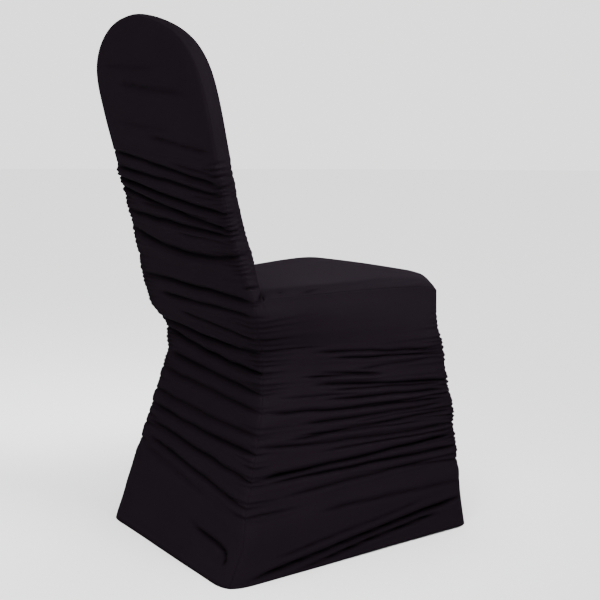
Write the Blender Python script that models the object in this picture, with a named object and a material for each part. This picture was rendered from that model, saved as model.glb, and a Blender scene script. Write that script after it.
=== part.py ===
"""Ruched stretch cover for a crown-back banquet chair, as six sewn panels of knit cloth.

The cover stands on its hem, faces -Y, and is +Z up, in metres. Its right side is -X. Each panel is a thin closed
sheet. The panels meet along shared seams: a seam's points are worked out once, and both cloths are mitred there.
"""
from collections import namedtuple

import bpy
import numpy as np

# Cloth: its thickness, how far a panel stops short of its seam, and the longest mitre there in thicknesses. Where
# panels that meet are nearly parallel, their mitre is worked out as for one panel
CLOTH_THICKNESS = 0.0020
SEAM_CLEARANCE = 0.00027
MITRE_LIMIT = 1.8
NEARLY_PARALLEL = 0.15
ON_FLOOR = 1e-6

# Heights along the seams
SEAT_LEVEL_REAR = 0.472
SEAT_LEVEL_FRONT = 0.464
RUCHING_BOTTOM = 0.09
RUCHING_TOP = 0.70

# Crown of the backrest: an arch that starts at the spring height and ends at the top
ARCH_SPRING = 0.79
ARCH_TOP = 0.94
ARCH_HALF_WIDTH = 0.193
ARCH_FLATNESS = 3.0
ARCH_SHOULDER = 1.62
CROWN_CORNER = 0.885

# Backrest: how far it leans back for each metre of height, and how far its inner face is pillowed. Its edge takes
# up the lean over the first rows above the seat
LEAN = 0.24
INNER_PILLOW = 0.008
INNER_PILLOW_POWER = 0.6
EDGE_LEAN_ROWS = 6

# Seat: its rounded edge and low dome, and how its seam dips at the front corners
SEAT_EDGE_RISE = 0.022
SEAT_EDGE_WIDTH = 0.030
SEAT_EDGE_POWER = 2.4
SEAT_REAR_STEEPER = 2
SEAT_REAR_SHARE = 0.42
SEAT_FULL_FROM = 0.40
SEAT_FULL_TO = 0.95
SEAT_DOME = 0.007
SEAT_SEAM_ARCH = 0.003
CORNER_DIP = 0.004
CORNER_DIP_WIDTH = 0.06

# Number of rows between one named height and the next, and the panels' columns
ROWS_HEM = 5
ROWS_SKIRT = 32
ROWS_BACKREST = 19
ROWS_CROWN = 8
BACK_COLUMNS = (-1.0, -0.955, -0.88, -0.70, -0.47, -0.23, 0.0, 0.23, 0.47, 0.70, 0.88, 0.955, 1.0)
SIDE_COLUMNS = (0.0, 0.022, 0.046, 0.068, 0.15, 0.28, 0.42, 0.56, 0.70, 0.83, 0.91, 0.955, 0.985, 1.0)

SeamPoint = namedtuple("SeamPoint", "height half_width back")
REAR_SEAM = (
    SeamPoint(0.00, 0.220, 0.243),
    SeamPoint(0.06, 0.222, 0.221),
    SeamPoint(0.12, 0.210, 0.204),
    SeamPoint(0.20, 0.199, 0.180),
    SeamPoint(0.28, 0.186, 0.159),
    SeamPoint(0.34, 0.173, 0.148),
    SeamPoint(0.38, 0.172, 0.149),
    SeamPoint(0.42, 0.191, 0.169),
    SeamPoint(0.46, 0.203, 0.180),
    SeamPoint(0.52, 0.194, 0.196),
    SeamPoint(0.60, 0.185, 0.218),
    SeamPoint(0.70, 0.188, 0.242),
    SeamPoint(0.79, 0.193, 0.264),
    SeamPoint(0.88, 0.193, 0.287),
    SeamPoint(0.94, 0.193, 0.300),
)
FRONT_SEAM = (
    SeamPoint(0.000, 0.199, -0.299),
    SeamPoint(0.050, 0.200, -0.288),
    SeamPoint(0.090, 0.201, -0.280),
    SeamPoint(0.133, 0.203, -0.271),
    SeamPoint(0.173, 0.203, -0.265),
    SeamPoint(0.213, 0.202, -0.259),
    SeamPoint(0.250, 0.202, -0.257),
    SeamPoint(0.270, 0.202, -0.247),
    SeamPoint(0.311, 0.201, -0.239),
    SeamPoint(0.350, 0.201, -0.231),
    SeamPoint(0.389, 0.201, -0.220),
    SeamPoint(0.427, 0.199, -0.216),
    SeamPoint(0.464, 0.199, -0.215),
)

# The rows of cloth slant: how much higher a row is at the left seam than at the right, and at the front than at
# the rear
Slant = namedtuple("Slant", "height rise")
BACK_SLANT = (
    Slant(0.00, 0.0),
    Slant(0.06, 0.028),
    Slant(0.12, 0.045),
    Slant(0.18, 0.025),
    Slant(0.24, 0.013),
    Slant(0.30, 0.020),
    Slant(0.345, 0.030),
    Slant(0.40, 0.020),
    Slant(0.472, 0.0),
    Slant(0.53, 0.030),
    Slant(0.60, 0.050),
    Slant(0.66, 0.048),
    Slant(0.74, 0.018),
    Slant(0.80, 0.0),
    Slant(0.885, 0.0),
)
SIDE_SLANT = (
    Slant(0.00, 0.0),
    Slant(0.03, 0.018),
    Slant(0.08, 0.018),
    Slant(0.15, 0.012),
    Slant(0.22, 0.0),
    Slant(0.30, -0.018),
    Slant(0.37, -0.022),
    Slant(0.43, -0.014),
    Slant(0.472, -0.008),
)

# The edge of the backrest, from the rear seam round to the inner face: how far forward of the seam a point is,
# and how far inside the seam's outline
EdgePoint = namedtuple("EdgePoint", "forward inset")
BACKREST_EDGE = (
    EdgePoint(0.000, 0.0000),
    EdgePoint(0.009, -0.0015),
    EdgePoint(0.018, -0.0005),
    EdgePoint(0.026, 0.0040),
    EdgePoint(0.032, 0.0120),
    EdgePoint(0.035, 0.0240),
)

# A side's top row turns from the backrest's edge to the seat at this column, and its last rows are drawn to it
SIDE_TOP_TURN = 3
SEAT_PULL_ROWS = 4

# Each panel rolls outwards from its seam: how far, and over what width of cloth. Its middle stands out by a belly.
# Under the crown's seam the back panel keeps only a share of its roll
ROLL_POWER = 2.6
CROWN_CALM_POWER = 3
CROWN_ROLL_SHARE = 0.25
Roll = namedtuple("Roll", "height out width belly")
BACK_ROLL = (
    Roll(0.00, 0.011, 0.040, 0.000),
    Roll(0.08, 0.006, 0.030, 0.001),
    Roll(0.20, 0.004, 0.020, 0.001),
    Roll(0.36, 0.003, 0.018, -0.002),
    Roll(0.46, 0.004, 0.020, 0.002),
    Roll(0.60, 0.004, 0.018, 0.005),
    Roll(0.80, 0.004, 0.018, 0.007),
    Roll(0.94, 0.003, 0.018, 0.003),
)
SIDE_ROLL = (
    Roll(0.00, 0.010, 0.040, 0.000),
    Roll(0.08, 0.006, 0.030, 0.001),
    Roll(0.20, 0.004, 0.022, 0.000),
    Roll(0.36, 0.004, 0.022, 0.002),
    Roll(0.472, 0.003, 0.022, 0.002),
)
FRONT_ROLL = (
    Roll(0.00, 0.006, 0.030, 0.003),
    Roll(0.20, 0.004, 0.022, 0.002),
    Roll(0.472, 0.004, 0.024, 0.003),
)

# Folds. A fold runs across its panel from place 0 to place 1 of its seams, at the height it has at each, with a
# sag in the middle. It starts and ends where it is said to, and it is a trough with a soft ridge on either side.
# On the back, place 0 is the right seam. On a side, place 0 is the rear seam. On the front, place 0 is the right.
Fold = namedtuple("Fold", "height_0 height_1 sag depth half_width starts ends")
BACK_FOLDS = (
    Fold(0.676, 0.740, 0.000, 0.0020, 0.0060, 0.00, 0.33),
    Fold(0.660, 0.718, 0.004, 0.0030, 0.0070, 0.02, 0.97),
    Fold(0.645, 0.690, 0.002, 0.0032, 0.0070, 0.05, 0.93),
    Fold(0.615, 0.669, 0.000, 0.0032, 0.0075, 0.07, 0.95),
    Fold(0.588, 0.651, 0.000, 0.0056, 0.0080, 0.02, 1.00),
    Fold(0.579, 0.609, 0.000, 0.0046, 0.0095, 0.05, 0.95),
    Fold(0.548, 0.578, -0.020, 0.0056, 0.0105, 0.00, 0.96),
    Fold(0.470, 0.486, 0.003, 0.0042, 0.0085, 0.03, 0.95),
    Fold(0.446, 0.455, 0.000, 0.0040, 0.0080, 0.05, 0.80),
    Fold(0.401, 0.437, 0.000, 0.0022, 0.0075, 0.02, 0.60),
    Fold(0.377, 0.399, -0.008, 0.0050, 0.0080, 0.00, 0.96),
    Fold(0.341, 0.379, -0.008, 0.0064, 0.0085, 0.00, 0.95),
    Fold(0.308, 0.334, -0.003, 0.0046, 0.0085, 0.00, 0.92),
    Fold(0.278, 0.298, 0.000, 0.0040, 0.0085, 0.00, 0.95),
    Fold(0.241, 0.255, -0.004, 0.0042, 0.0085, 0.00, 0.97),
    Fold(0.211, 0.228, -0.005, 0.0056, 0.0085, 0.00, 0.95),
    Fold(0.171, 0.200, 0.000, 0.0042, 0.0085, 0.00, 0.90),
    Fold(0.130, 0.175, 0.000, 0.0036, 0.0085, 0.02, 0.85),
    Fold(0.100, 0.150, 0.000, 0.0022, 0.0085, 0.30, 0.90),
    Fold(0.046, 0.085, 0.000, 0.0032, 0.0090, 0.04, 0.42),
)
RIGHT_FOLDS = (
    Fold(0.378, 0.354, 0.000, 0.0036, 0.0070, 0.25, 1.00),
    Fold(0.346, 0.305, 0.000, 0.0020, 0.0065, 0.33, 0.52),
    Fold(0.327, 0.340, 0.000, 0.0022, 0.0065, 0.48, 1.00),
    Fold(0.321, 0.293, 0.000, 0.0046, 0.0075, 0.30, 1.00),
    Fold(0.292, 0.276, 0.000, 0.0034, 0.0065, 0.38, 1.00),
    Fold(0.278, 0.261, -0.004, 0.0036, 0.0070, 0.14, 0.92),
    Fold(0.253, 0.252, -0.004, 0.0030, 0.0070, 0.22, 0.92),
    Fold(0.225, 0.235, 0.002, 0.0034, 0.0070, 0.15, 1.00),
    Fold(0.223, 0.208, -0.005, 0.0030, 0.0070, 0.00, 0.96),
    Fold(0.172, 0.188, 0.000, 0.0050, 0.0080, 0.03, 0.97),
    Fold(0.164, 0.162, 0.000, 0.0042, 0.0080, 0.10, 1.00),
    Fold(0.131, 0.148, 0.002, 0.0032, 0.0080, 0.18, 0.82),
    Fold(0.096, 0.094, 0.002, 0.0026, 0.0085, 0.35, 1.00),
    Fold(0.010, 0.062, 0.002, 0.0050, 0.0090, 0.05, 0.97),
)
LEFT_FOLDS = (
    Fold(0.402, 0.378, 0.000, 0.0032, 0.0070, 0.10, 1.00),
    Fold(0.362, 0.344, -0.003, 0.0042, 0.0075, 0.20, 1.00),
    Fold(0.335, 0.318, 0.000, 0.0026, 0.0070, 0.00, 0.70),
    Fold(0.306, 0.290, -0.004, 0.0044, 0.0080, 0.25, 1.00),
    Fold(0.268, 0.259, 0.000, 0.0034, 0.0075, 0.05, 0.95),
    Fold(0.236, 0.241, -0.005, 0.0034, 0.0075, 0.30, 1.00),
    Fold(0.214, 0.199, 0.000, 0.0046, 0.0080, 0.00, 0.92),
    Fold(0.166, 0.176, 0.003, 0.0042, 0.0080, 0.12, 1.00),
    Fold(0.132, 0.139, 0.000, 0.0030, 0.0080, 0.00, 0.75),
    Fold(0.024, 0.078, 0.002, 0.0042, 0.0090, 0.08, 0.95),
)
FRONT_FOLDS = (
    Fold(0.402, 0.396, -0.014, 0.0026, 0.0075, 0.00, 0.42),
    Fold(0.372, 0.378, -0.012, 0.0036, 0.0080, 0.00, 1.00),
    Fold(0.338, 0.346, -0.014, 0.0030, 0.0075, 0.38, 1.00),
    Fold(0.316, 0.304, -0.012, 0.0044, 0.0085, 0.00, 1.00),
    Fold(0.272, 0.280, -0.014, 0.0036, 0.0080, 0.00, 0.72),
    Fold(0.240, 0.246, -0.010, 0.0042, 0.0085, 0.12, 1.00),
    Fold(0.202, 0.208, -0.012, 0.0036, 0.0080, 0.00, 0.80),
    Fold(0.170, 0.162, -0.008, 0.0042, 0.0085, 0.00, 1.00),
    Fold(0.126, 0.132, -0.006, 0.0030, 0.0085, 0.30, 1.00),
)
INNER_FOLDS = (
    Fold(0.678, 0.700, -0.012, 0.0026, 0.0080, 0.00, 0.40),
    Fold(0.652, 0.668, -0.014, 0.0034, 0.0085, 0.45, 1.00),
    Fold(0.624, 0.636, -0.014, 0.0036, 0.0085, 0.00, 0.55),
    Fold(0.590, 0.604, -0.012, 0.0034, 0.0085, 0.35, 1.00),
    Fold(0.562, 0.566, -0.010, 0.0036, 0.0085, 0.00, 0.60),
    Fold(0.524, 0.532, -0.006, 0.0030, 0.0085, 0.50, 1.00),
)

# How all folds are drawn: their depth, their ridges against their trough, the share of the width over which one
# dies out at its ends and at a seam, and the height of still cloth above the hem
FOLD_SCALE = 1.2
FOLD_RIDGES = 0.8
FOLD_FADE = 0.13
FOLD_TIP = 0.02
FOLD_SEAM_FADE = 0.07
HEM_CALM = 0.03

# The seams are uneven where the cloth is gathered on them: two waves along the seam, with a start for each seam
GATHER_DEPTH = 0.0013
GATHER_PITCH_LONG = 0.062
GATHER_PITCH_SHORT = 0.037
GATHER_SHORT_SHARE = 0.6
GATHER_FADE = 0.04
FRONT_GATHERS_TOP = 0.434
GATHER_STARTS = {"rear_right": 0.4, "rear_left": 2.1, "front_right": 3.6, "front_left": 5.2}

# Material: linear colour and roughness of the black knit, and the angle past which an edge is shaded sharp
CLOTH_COLOUR = (0.0105, 0.0080, 0.0112, 1.0)
CLOTH_ROUGHNESS = 0.82
SHARP_ANGLE = np.radians(50)


def smooth_table(rows, column, height):
    """A table's column read at any height: a cubic between its rows that never overshoots them."""
    knots = np.array([row.height for row in rows])
    values = np.array([getattr(row, column) for row in rows])
    step = np.diff(knots)
    rise = np.diff(values) / step
    same_way = rise[:-1] * rise[1:] > 0
    product = np.where(same_way, rise[:-1] * rise[1:], 0.0)
    total = np.where(same_way, rise[:-1] + rise[1:], 1.0)
    slope = np.concatenate([rise[:1], 2 * product / total, rise[-1:]])
    height = np.clip(height, knots[0], knots[-1])
    low = np.clip(np.searchsorted(knots, height, side="right") - 1, 0, len(step) - 1)
    t = (height - knots[low]) / step[low]
    level = values[low] + (values[low + 1] - values[low]) * t * t * (3 - 2 * t)
    return level + step[low] * t * (1 - t) * (slope[low] * (1 - t) - slope[low + 1] * t)


def fade(value, start, end):
    """0 before the start, 1 past the end, and a smooth step between."""
    t = np.clip((value - start) / (end - start), 0, 1)
    return t * t * (3 - 2 * t)


def unit(vectors):
    """Vectors brought to length 1."""
    return vectors / np.linalg.norm(vectors, axis=-1, keepdims=True)


def gathers(height, top, name):
    """How far a gathered seam stands out of its smooth line."""
    start = GATHER_STARTS[name]
    waves = np.sin(2 * np.pi * height / GATHER_PITCH_LONG + start)
    waves = waves + GATHER_SHORT_SHARE * np.sin(2 * np.pi * height / GATHER_PITCH_SHORT + 2 * start)
    below = fade(height, RUCHING_BOTTOM - GATHER_FADE, RUCHING_BOTTOM + GATHER_FADE)
    return GATHER_DEPTH * waves * below * (1 - fade(height, top - GATHER_FADE, top + GATHER_FADE / 2))


def arch_half_width(height):
    """Half the crown's width at a height: full at the spring, nothing at the top."""
    t = np.clip((height - ARCH_SPRING) / (ARCH_TOP - ARCH_SPRING), 0, 1)
    return ARCH_HALF_WIDTH * (1 - t ** ARCH_FLATNESS) ** (1 / ARCH_SHOULDER)


def arch_height(across):
    """The crown's height at a distance from the middle."""
    t = np.clip(np.abs(across) / ARCH_HALF_WIDTH, 0, 1)
    return ARCH_SPRING + (ARCH_TOP - ARCH_SPRING) * (1 - t ** ARCH_SHOULDER) ** (1 / ARCH_FLATNESS)


def seam_line(table, heights, side, name, top, outward):
    """A corner seam's points: its table read at the heights, mirrored to its side, with its gathers."""
    half = smooth_table(table, "half_width", heights)
    if table is REAR_SEAM:
        half = np.where(heights > ARCH_SPRING, arch_half_width(heights), half)
    bump = gathers(heights, top, name) / np.sqrt(2)
    back = smooth_table(table, "back", heights) + outward * bump
    return np.stack([side * (half + bump), back, heights], axis=1)


def row_heights():
    """The height of each row of cloth at the right rear seam, and the row at which the seat starts."""
    hem = np.linspace(0, RUCHING_BOTTOM, ROWS_HEM + 1)
    skirt = np.linspace(RUCHING_BOTTOM, SEAT_LEVEL_REAR, ROWS_SKIRT + 1)[1:]
    backrest = np.linspace(SEAT_LEVEL_REAR, RUCHING_TOP, ROWS_BACKREST + 1)[1:]
    crown = np.linspace(RUCHING_TOP, CROWN_CORNER, ROWS_CROWN + 1)[1:]
    return np.concatenate([hem, skirt, backrest, crown]), ROWS_HEM + ROWS_SKIRT


def roll_out(table, heights, place, width):
    """How far a panel stands out of the flat between its seams: a roll beside each seam and a belly."""
    out = smooth_table(table, "out", heights)
    reach = smooth_table(table, "width", heights)
    belly = smooth_table(table, "belly", heights)
    edge = np.minimum(place, 1 - place) * width
    roll = 1 - (1 - np.clip(edge / reach, 0, 1)) ** ROLL_POWER
    return out * roll + belly * 4 * place * (1 - place)


def fold_depth(folds, heights, place):
    """How far the folds move the cloth: each a trough between two soft ridges, faded at its ends."""
    total = np.zeros_like(heights)
    for fold in folds:
        line = fold.height_0 + (fold.height_1 - fold.height_0) * place + fold.sag * 4 * place * (1 - place)
        across = (heights - line) / fold.half_width
        along = fade(place, fold.starts - FOLD_TIP, fold.starts + FOLD_FADE)
        along = along * (1 - fade(place, fold.ends - FOLD_FADE, fold.ends + FOLD_TIP))
        profile = (1 - FOLD_RIDGES * across ** 2) * np.exp(-across ** 2 / 2)
        total -= FOLD_SCALE * fold.depth * along * profile
    edge = fade(np.minimum(place, 1 - place), 0, FOLD_SEAM_FADE)
    return total * edge * fade(heights, 0, HEM_CALM)


def dip(distance):
    """1 at a corner of the seat's seam, and 0 where the seam has risen out of its dip."""
    return 1 - fade(distance, 0, CORNER_DIP_WIDTH)


def seat_edge(distance):
    """The seat's rounded edge: 0 on its seam, rising fast and then level."""
    return 1 - (1 - np.clip(distance / SEAT_EDGE_WIDTH, 0, 1)) ** SEAT_EDGE_POWER


def between(start, end, places):
    """Rows of points from each start point to its end point, one column for each place."""
    places = np.asarray(places)[None, :, None]
    return start[:, None, :] * (1 - places) + end[:, None, :] * places


def grid_normals(grid, outward):
    """Unit normals of a grid of points, on the side of the outward direction."""
    normals = unit(np.cross(np.gradient(grid, axis=1), np.gradient(grid, axis=0)))
    if (normals * np.asarray(outward)).sum(axis=-1).mean() < 0:
        normals = -normals
    return normals


def rear_rows(heights, right, left):
    """The back panel's flat rows: straight from seam to seam, and arched towards the crown."""
    places = (np.array(BACK_COLUMNS) + 1) / 2
    grid = between(right, left, places)
    across = grid[-1, :, 0]
    rise = arch_height(across) - CROWN_CORNER
    grid[:, :, 2] += fade(heights, RUCHING_TOP, CROWN_CORNER)[:, None] * rise[None, :]
    grid[:, :, 1] = np.where(
        heights[:, None] > RUCHING_TOP, smooth_table(REAR_SEAM, "back", grid[:, :, 2]), grid[:, :, 1]
    )
    return grid, np.broadcast_to(places, grid.shape[:2])


def backrest_edge(rim, seat_rows):
    """The cloth round the backrest's edge: the rim's points moved forward and in, one column for each step."""
    lean = np.full(len(rim), LEAN)
    lean[: seat_rows] = LEAN * fade(np.arange(seat_rows), 0, seat_rows - 1)
    lean[len(rim) - seat_rows :] = lean[: seat_rows][::-1]
    forward = unit(np.stack([np.zeros(len(rim)), -np.ones(len(rim)), lean], axis=1))
    inward = unit(np.cross(np.gradient(rim, axis=0), forward))
    middle = rim.mean(axis=0)
    if ((middle - rim) * inward).sum() < 0:
        inward = -inward
    inward[0] = (1, 0, 0)
    inward[-1] = (-1, 0, 0)
    steps = [rim + point.forward * forward + point.inset * inward for point in BACKREST_EDGE]
    return np.stack(steps, axis=1)


def weld(patches):
    """Points and quads of a panel from its grids, whose shared edges become one, with quads facing outwards."""
    points, keys, quads = [], {}, []
    for grid, outward in patches:
        number = np.zeros(grid.shape[:2], int)
        for spot in np.ndindex(*grid.shape[:2]):
            key = tuple(np.round(grid[spot] * 1e5).astype(int))
            if key not in keys:
                keys[key] = len(points)
                points.append(grid[spot])
            number[spot] = keys[key]
        a, b, c, d = number[:-1, :-1], number[:-1, 1:], number[1:, 1:], number[1:, :-1]
        made = np.stack([a, b, c, d], axis=-1).reshape(-1, 4)
        corner = grid[:-1, :-1]
        facing = np.cross(grid[:-1, 1:] - corner, grid[1:, :-1] - corner).sum(axis=(0, 1))
        quads.extend(made if facing @ np.asarray(outward) > 0 else made[:, ::-1])
    return np.array(points), np.array(quads)


def vertex_normals(points, quads):
    """Unit normals at the points, from the quads round each."""
    corners = points[quads]
    facing = np.cross(corners[:, 2] - corners[:, 0], corners[:, 3] - corners[:, 1])
    normals = np.zeros_like(points)
    for column in range(4):
        np.add.at(normals, quads[:, column], facing)
    return unit(normals)


def open_edges(quads):
    """The panel's border as directed edges, with the cloth on their left seen from outside."""
    edges = {(int(q[i]), int(q[(i + 1) % 4])) for q in quads for i in range(4)}
    return [edge for edge in edges if (edge[1], edge[0]) not in edges]


def seam_key(point):
    """A point's name in the table of seam points that panels share."""
    return tuple(np.round(point * 2e4).astype(int))


def thickness_vectors(panels):
    """For each seam point, the vector from outer to inner face that suits every panel that meets there."""
    meeting = {}
    for panel in panels.values():
        for spot in {end for edge in panel["border"] for end in edge}:
            meeting.setdefault(seam_key(panel["points"][spot]), []).append(panel["normals"][spot])
    found = {}
    for key, normals in meeting.items():
        rows = np.array(normals)
        vector = -np.linalg.pinv(rows, rcond=NEARLY_PARALLEL) @ np.full(len(rows), CLOTH_THICKNESS)
        longest = MITRE_LIMIT * CLOTH_THICKNESS
        found[key] = vector * min(1.0, longest / np.linalg.norm(vector))
    return found, {key for key, normals in meeting.items() if len(normals) > 1}


def sheet(panel, inwards, shared):
    """The panel as a closed sheet: its outer face, an inner face one cloth below it, and walls round the border."""
    points, quads, normals = panel["points"], panel["quads"], panel["normals"]
    inner = -CLOTH_THICKNESS * normals
    for spot in {end for edge in panel["border"] for end in edge}:
        inner[spot] = inwards[seam_key(points[spot])]
    away = [[] for _ in points]
    for start, end in panel["border"]:
        if max(points[start][2], points[end][2]) < ON_FLOOR:
            continue
        side = unit(np.cross(normals[start] + normals[end], points[end] - points[start]))
        away[start].append(side)
        away[end].append(side)
    outer = points.copy()
    for spot, sides in enumerate(away):
        if sides and seam_key(points[spot]) in shared:
            both = sum(sides) / (1 + sides[0] @ sides[-1]) if len(sides) > 1 else sides[0]
            outer[spot] += SEAM_CLEARANCE * both
    floor = points[:, 2] < ON_FLOOR
    inner[floor, 2] = 0
    outer[floor, 2] = 0
    count = len(points)
    faces = [tuple(int(i) for i in quad) for quad in quads]
    faces += [tuple(int(i) + count for i in quad[::-1]) for quad in quads]
    for start, end in panel["border"]:
        if seam_key(points[start]) < seam_key(points[end]):
            faces += [(end, start, end + count), (start, start + count, end + count)]
        else:
            faces += [(end, start, start + count), (end, start + count, end + count)]
    return np.concatenate([outer, outer + inner]), faces


def cloth_material(name):
    """Black knit, matt."""
    material = bpy.data.materials.new(name)
    material.use_nodes = True
    shader = material.node_tree.nodes["Principled BSDF"]
    shader.inputs["Base Color"].default_value = CLOTH_COLOUR
    shader.inputs["Roughness"].default_value = CLOTH_ROUGHNESS
    shader.inputs["Metallic"].default_value = 0.0
    return material


def add_object(name, points, faces):
    """A new object with its own mesh and material, shaded smooth over the folds and sharp at the cut edges."""
    mesh = bpy.data.meshes.new(name)
    mesh.from_pydata([tuple(point) for point in points], [], faces)
    mesh.shade_smooth()
    mesh.set_sharp_from_angle(angle=SHARP_ANGLE)
    mesh.materials.append(cloth_material(name))
    made = bpy.data.objects.new(name, mesh)
    bpy.context.scene.collection.objects.link(made)


def corner_seams():
    """The rows' heights, the number of the row at which the seat starts, and the four corner seams."""
    heights, seat_row = row_heights()
    skirt = heights[: seat_row + 1]
    slant = smooth_table(BACK_SLANT, "rise", heights)
    right_front = skirt + smooth_table(SIDE_SLANT, "rise", skirt)
    left_front = skirt + slant[: seat_row + 1] / 2
    left_front = left_front * SEAT_LEVEL_FRONT / left_front[-1]
    seams = {
        "rear_right": seam_line(REAR_SEAM, heights, -1, "rear_right", RUCHING_TOP, 1),
        "rear_left": seam_line(REAR_SEAM, heights + slant, 1, "rear_left", RUCHING_TOP, 1),
        "front_right": seam_line(FRONT_SEAM, right_front, -1, "front_right", FRONT_GATHERS_TOP, -1),
        "front_left": seam_line(FRONT_SEAM, left_front, 1, "front_left", FRONT_GATHERS_TOP, -1),
    }
    return heights, seat_row, seams


def shape_back(heights, right, left):
    """The back panel: its flat rows rolled out beside the seams and folded, with its crown left in place."""
    back, places = rear_rows(heights, right, left)
    width = np.abs(left[:, 0] - right[:, 0])[:, None]
    crown = fade(heights, RUCHING_TOP, CROWN_CORNER)[:, None]
    share = np.maximum(1 - crown ** CROWN_CALM_POWER, CROWN_ROLL_SHARE)
    share[-1] = 0
    out = share * roll_out(BACK_ROLL, back[:, :, 2], places, width)
    out = out + fold_depth(BACK_FOLDS, back[:, :, 2], places)
    back = back + out[:, :, None] * grid_normals(back, (0, 1, 0)) * np.array([0, 1, 1])
    back[0, :, 2] = 0
    return back


def shape_edges(back, right, left, seat_row):
    """The cloth round the backrest's edge, as three strips: right, left and over the crown."""
    rim = np.concatenate([right[seat_row:], back[-1, 1:-1], left[seat_row:][::-1]])
    edge = backrest_edge(rim, EDGE_LEAN_ROWS)
    rows_up = len(right) - seat_row
    return edge[:rows_up], edge[::-1][:rows_up], edge[rows_up - 1 : len(edge) - rows_up + 1]


def shape_inner(heights, places, right_edge, left_edge, top_edge):
    """The backrest's inner face between the strips of its edge: pillowed, folded, and level with its border."""
    inner = between(right_edge[:, -1], left_edge[:, -1], places)
    blend = fade(heights, RUCHING_TOP, CROWN_CORNER)[:, None, None]
    inner = inner + blend * (top_edge[:, -1] - inner[-1])[None]
    up = np.linspace(0, 1, len(heights))[:, None]
    out = INNER_PILLOW * 4 * places * (1 - places) * np.sin(np.pi * up) ** INNER_PILLOW_POWER
    out = out + fold_depth(INNER_FOLDS, inner[:, :, 2], places)
    out[0] = out[-1] = 0
    return inner + out[:, :, None] * np.array([0, -1, LEAN])


def side_top(edge, corner, reach):
    """A side's top row: along the foot of the backrest's edge, then in a low arch to the seat's front corner."""
    share = np.array(SIDE_COLUMNS[SIDE_TOP_TURN:])
    share = (share - share[0]) / (1 - share[0])
    line = between(edge[:1, SIDE_TOP_TURN], corner[None], share)[0]
    arch = SEAT_SEAM_ARCH * np.sin(np.pi * share) - CORNER_DIP * dip((1 - share) * reach)
    line[1:-1, 2] = SEAT_LEVEL_REAR + arch[1:-1]
    return np.concatenate([edge[0, :SIDE_TOP_TURN], line])


def shape_side(rear, front, edge, outward, folds):
    """A side panel: straight rows rolled out beside the seams and folded, the last rows drawn up to the seat."""
    places = np.array(SIDE_COLUMNS)
    side = between(rear, front, places)
    length = np.linalg.norm(front - rear, axis=1)[:, None]
    out = roll_out(SIDE_ROLL, side[:, :, 2], places, length) + fold_depth(folds, side[:, :, 2], places)
    side = side + out[:, :, None] * grid_normals(side, (outward, 0, 0))
    last = len(side) - 1
    pull = fade(np.arange(last + 1), last - SEAT_PULL_ROWS, last)[:, None, None]
    side = side + pull * (side_top(edge, front[-1], length[-1]) - side[-1])[None]
    side[:, :, 2] = np.maximum(side[:, :, 2], 0)
    side[0, :, 2] = 0
    return side


def shape_front(right, left, share):
    """The front panel: as a side, with its top row raised between the dips at the seat's corners."""
    front = between(right, left, share)
    wide = (left[:, 0] - right[:, 0])[:, None]
    out = roll_out(FRONT_ROLL, front[:, :, 2], share, wide) + fold_depth(FRONT_FOLDS, front[:, :, 2], share)
    front = front + out[:, :, None] * grid_normals(front, (0, -1, 0)) * np.array([0, 1, 1])
    front[:, :, 2] = np.maximum(front[:, :, 2], 0)
    lifted = CORNER_DIP * (1 - dip(np.minimum(share, 1 - share) * wide[-1]))
    pull = fade(right[:, 2], right[-1 - SEAT_PULL_ROWS, 2], right[-1, 2])[:, None]
    front[:, :, 2] += pull * lifted
    front[0, :, 2] = 0
    return front


def shape_seat(right_line, left_line, rear_edge, front_edge, share):
    """The seat between its four seams: rounded up from them, with a low dome, and fuller towards the front."""
    down = (right_line[:, 1] - right_line[0, 1]) / (right_line[-1, 1] - right_line[0, 1])
    seat = between(right_line, left_line, share)
    seat = seat + (1 - down)[:, None, None] * (rear_edge - seat[0])[None]
    seat = seat + down[:, None, None] * (front_edge - seat[-1])[None]
    wide = (seat[:, -1, 0] - seat[:, 0, 0])[:, None]
    deep = np.linalg.norm(right_line[-1] - right_line[0])
    across = seat_edge(np.minimum(share, 1 - share) * wide)
    along = seat_edge((1 - down) * deep) * seat_edge(down * deep * SEAT_REAR_STEEPER)
    dome = 16 * share * (1 - share) * (down * (1 - down))[:, None]
    fuller = SEAT_REAR_SHARE + (1 - SEAT_REAR_SHARE) * fade(down, SEAT_FULL_FROM, SEAT_FULL_TO)
    seat[:, :, 2] += fuller[:, None] * (SEAT_EDGE_RISE * across * along[:, None] + SEAT_DOME * dome)
    return seat


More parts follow.
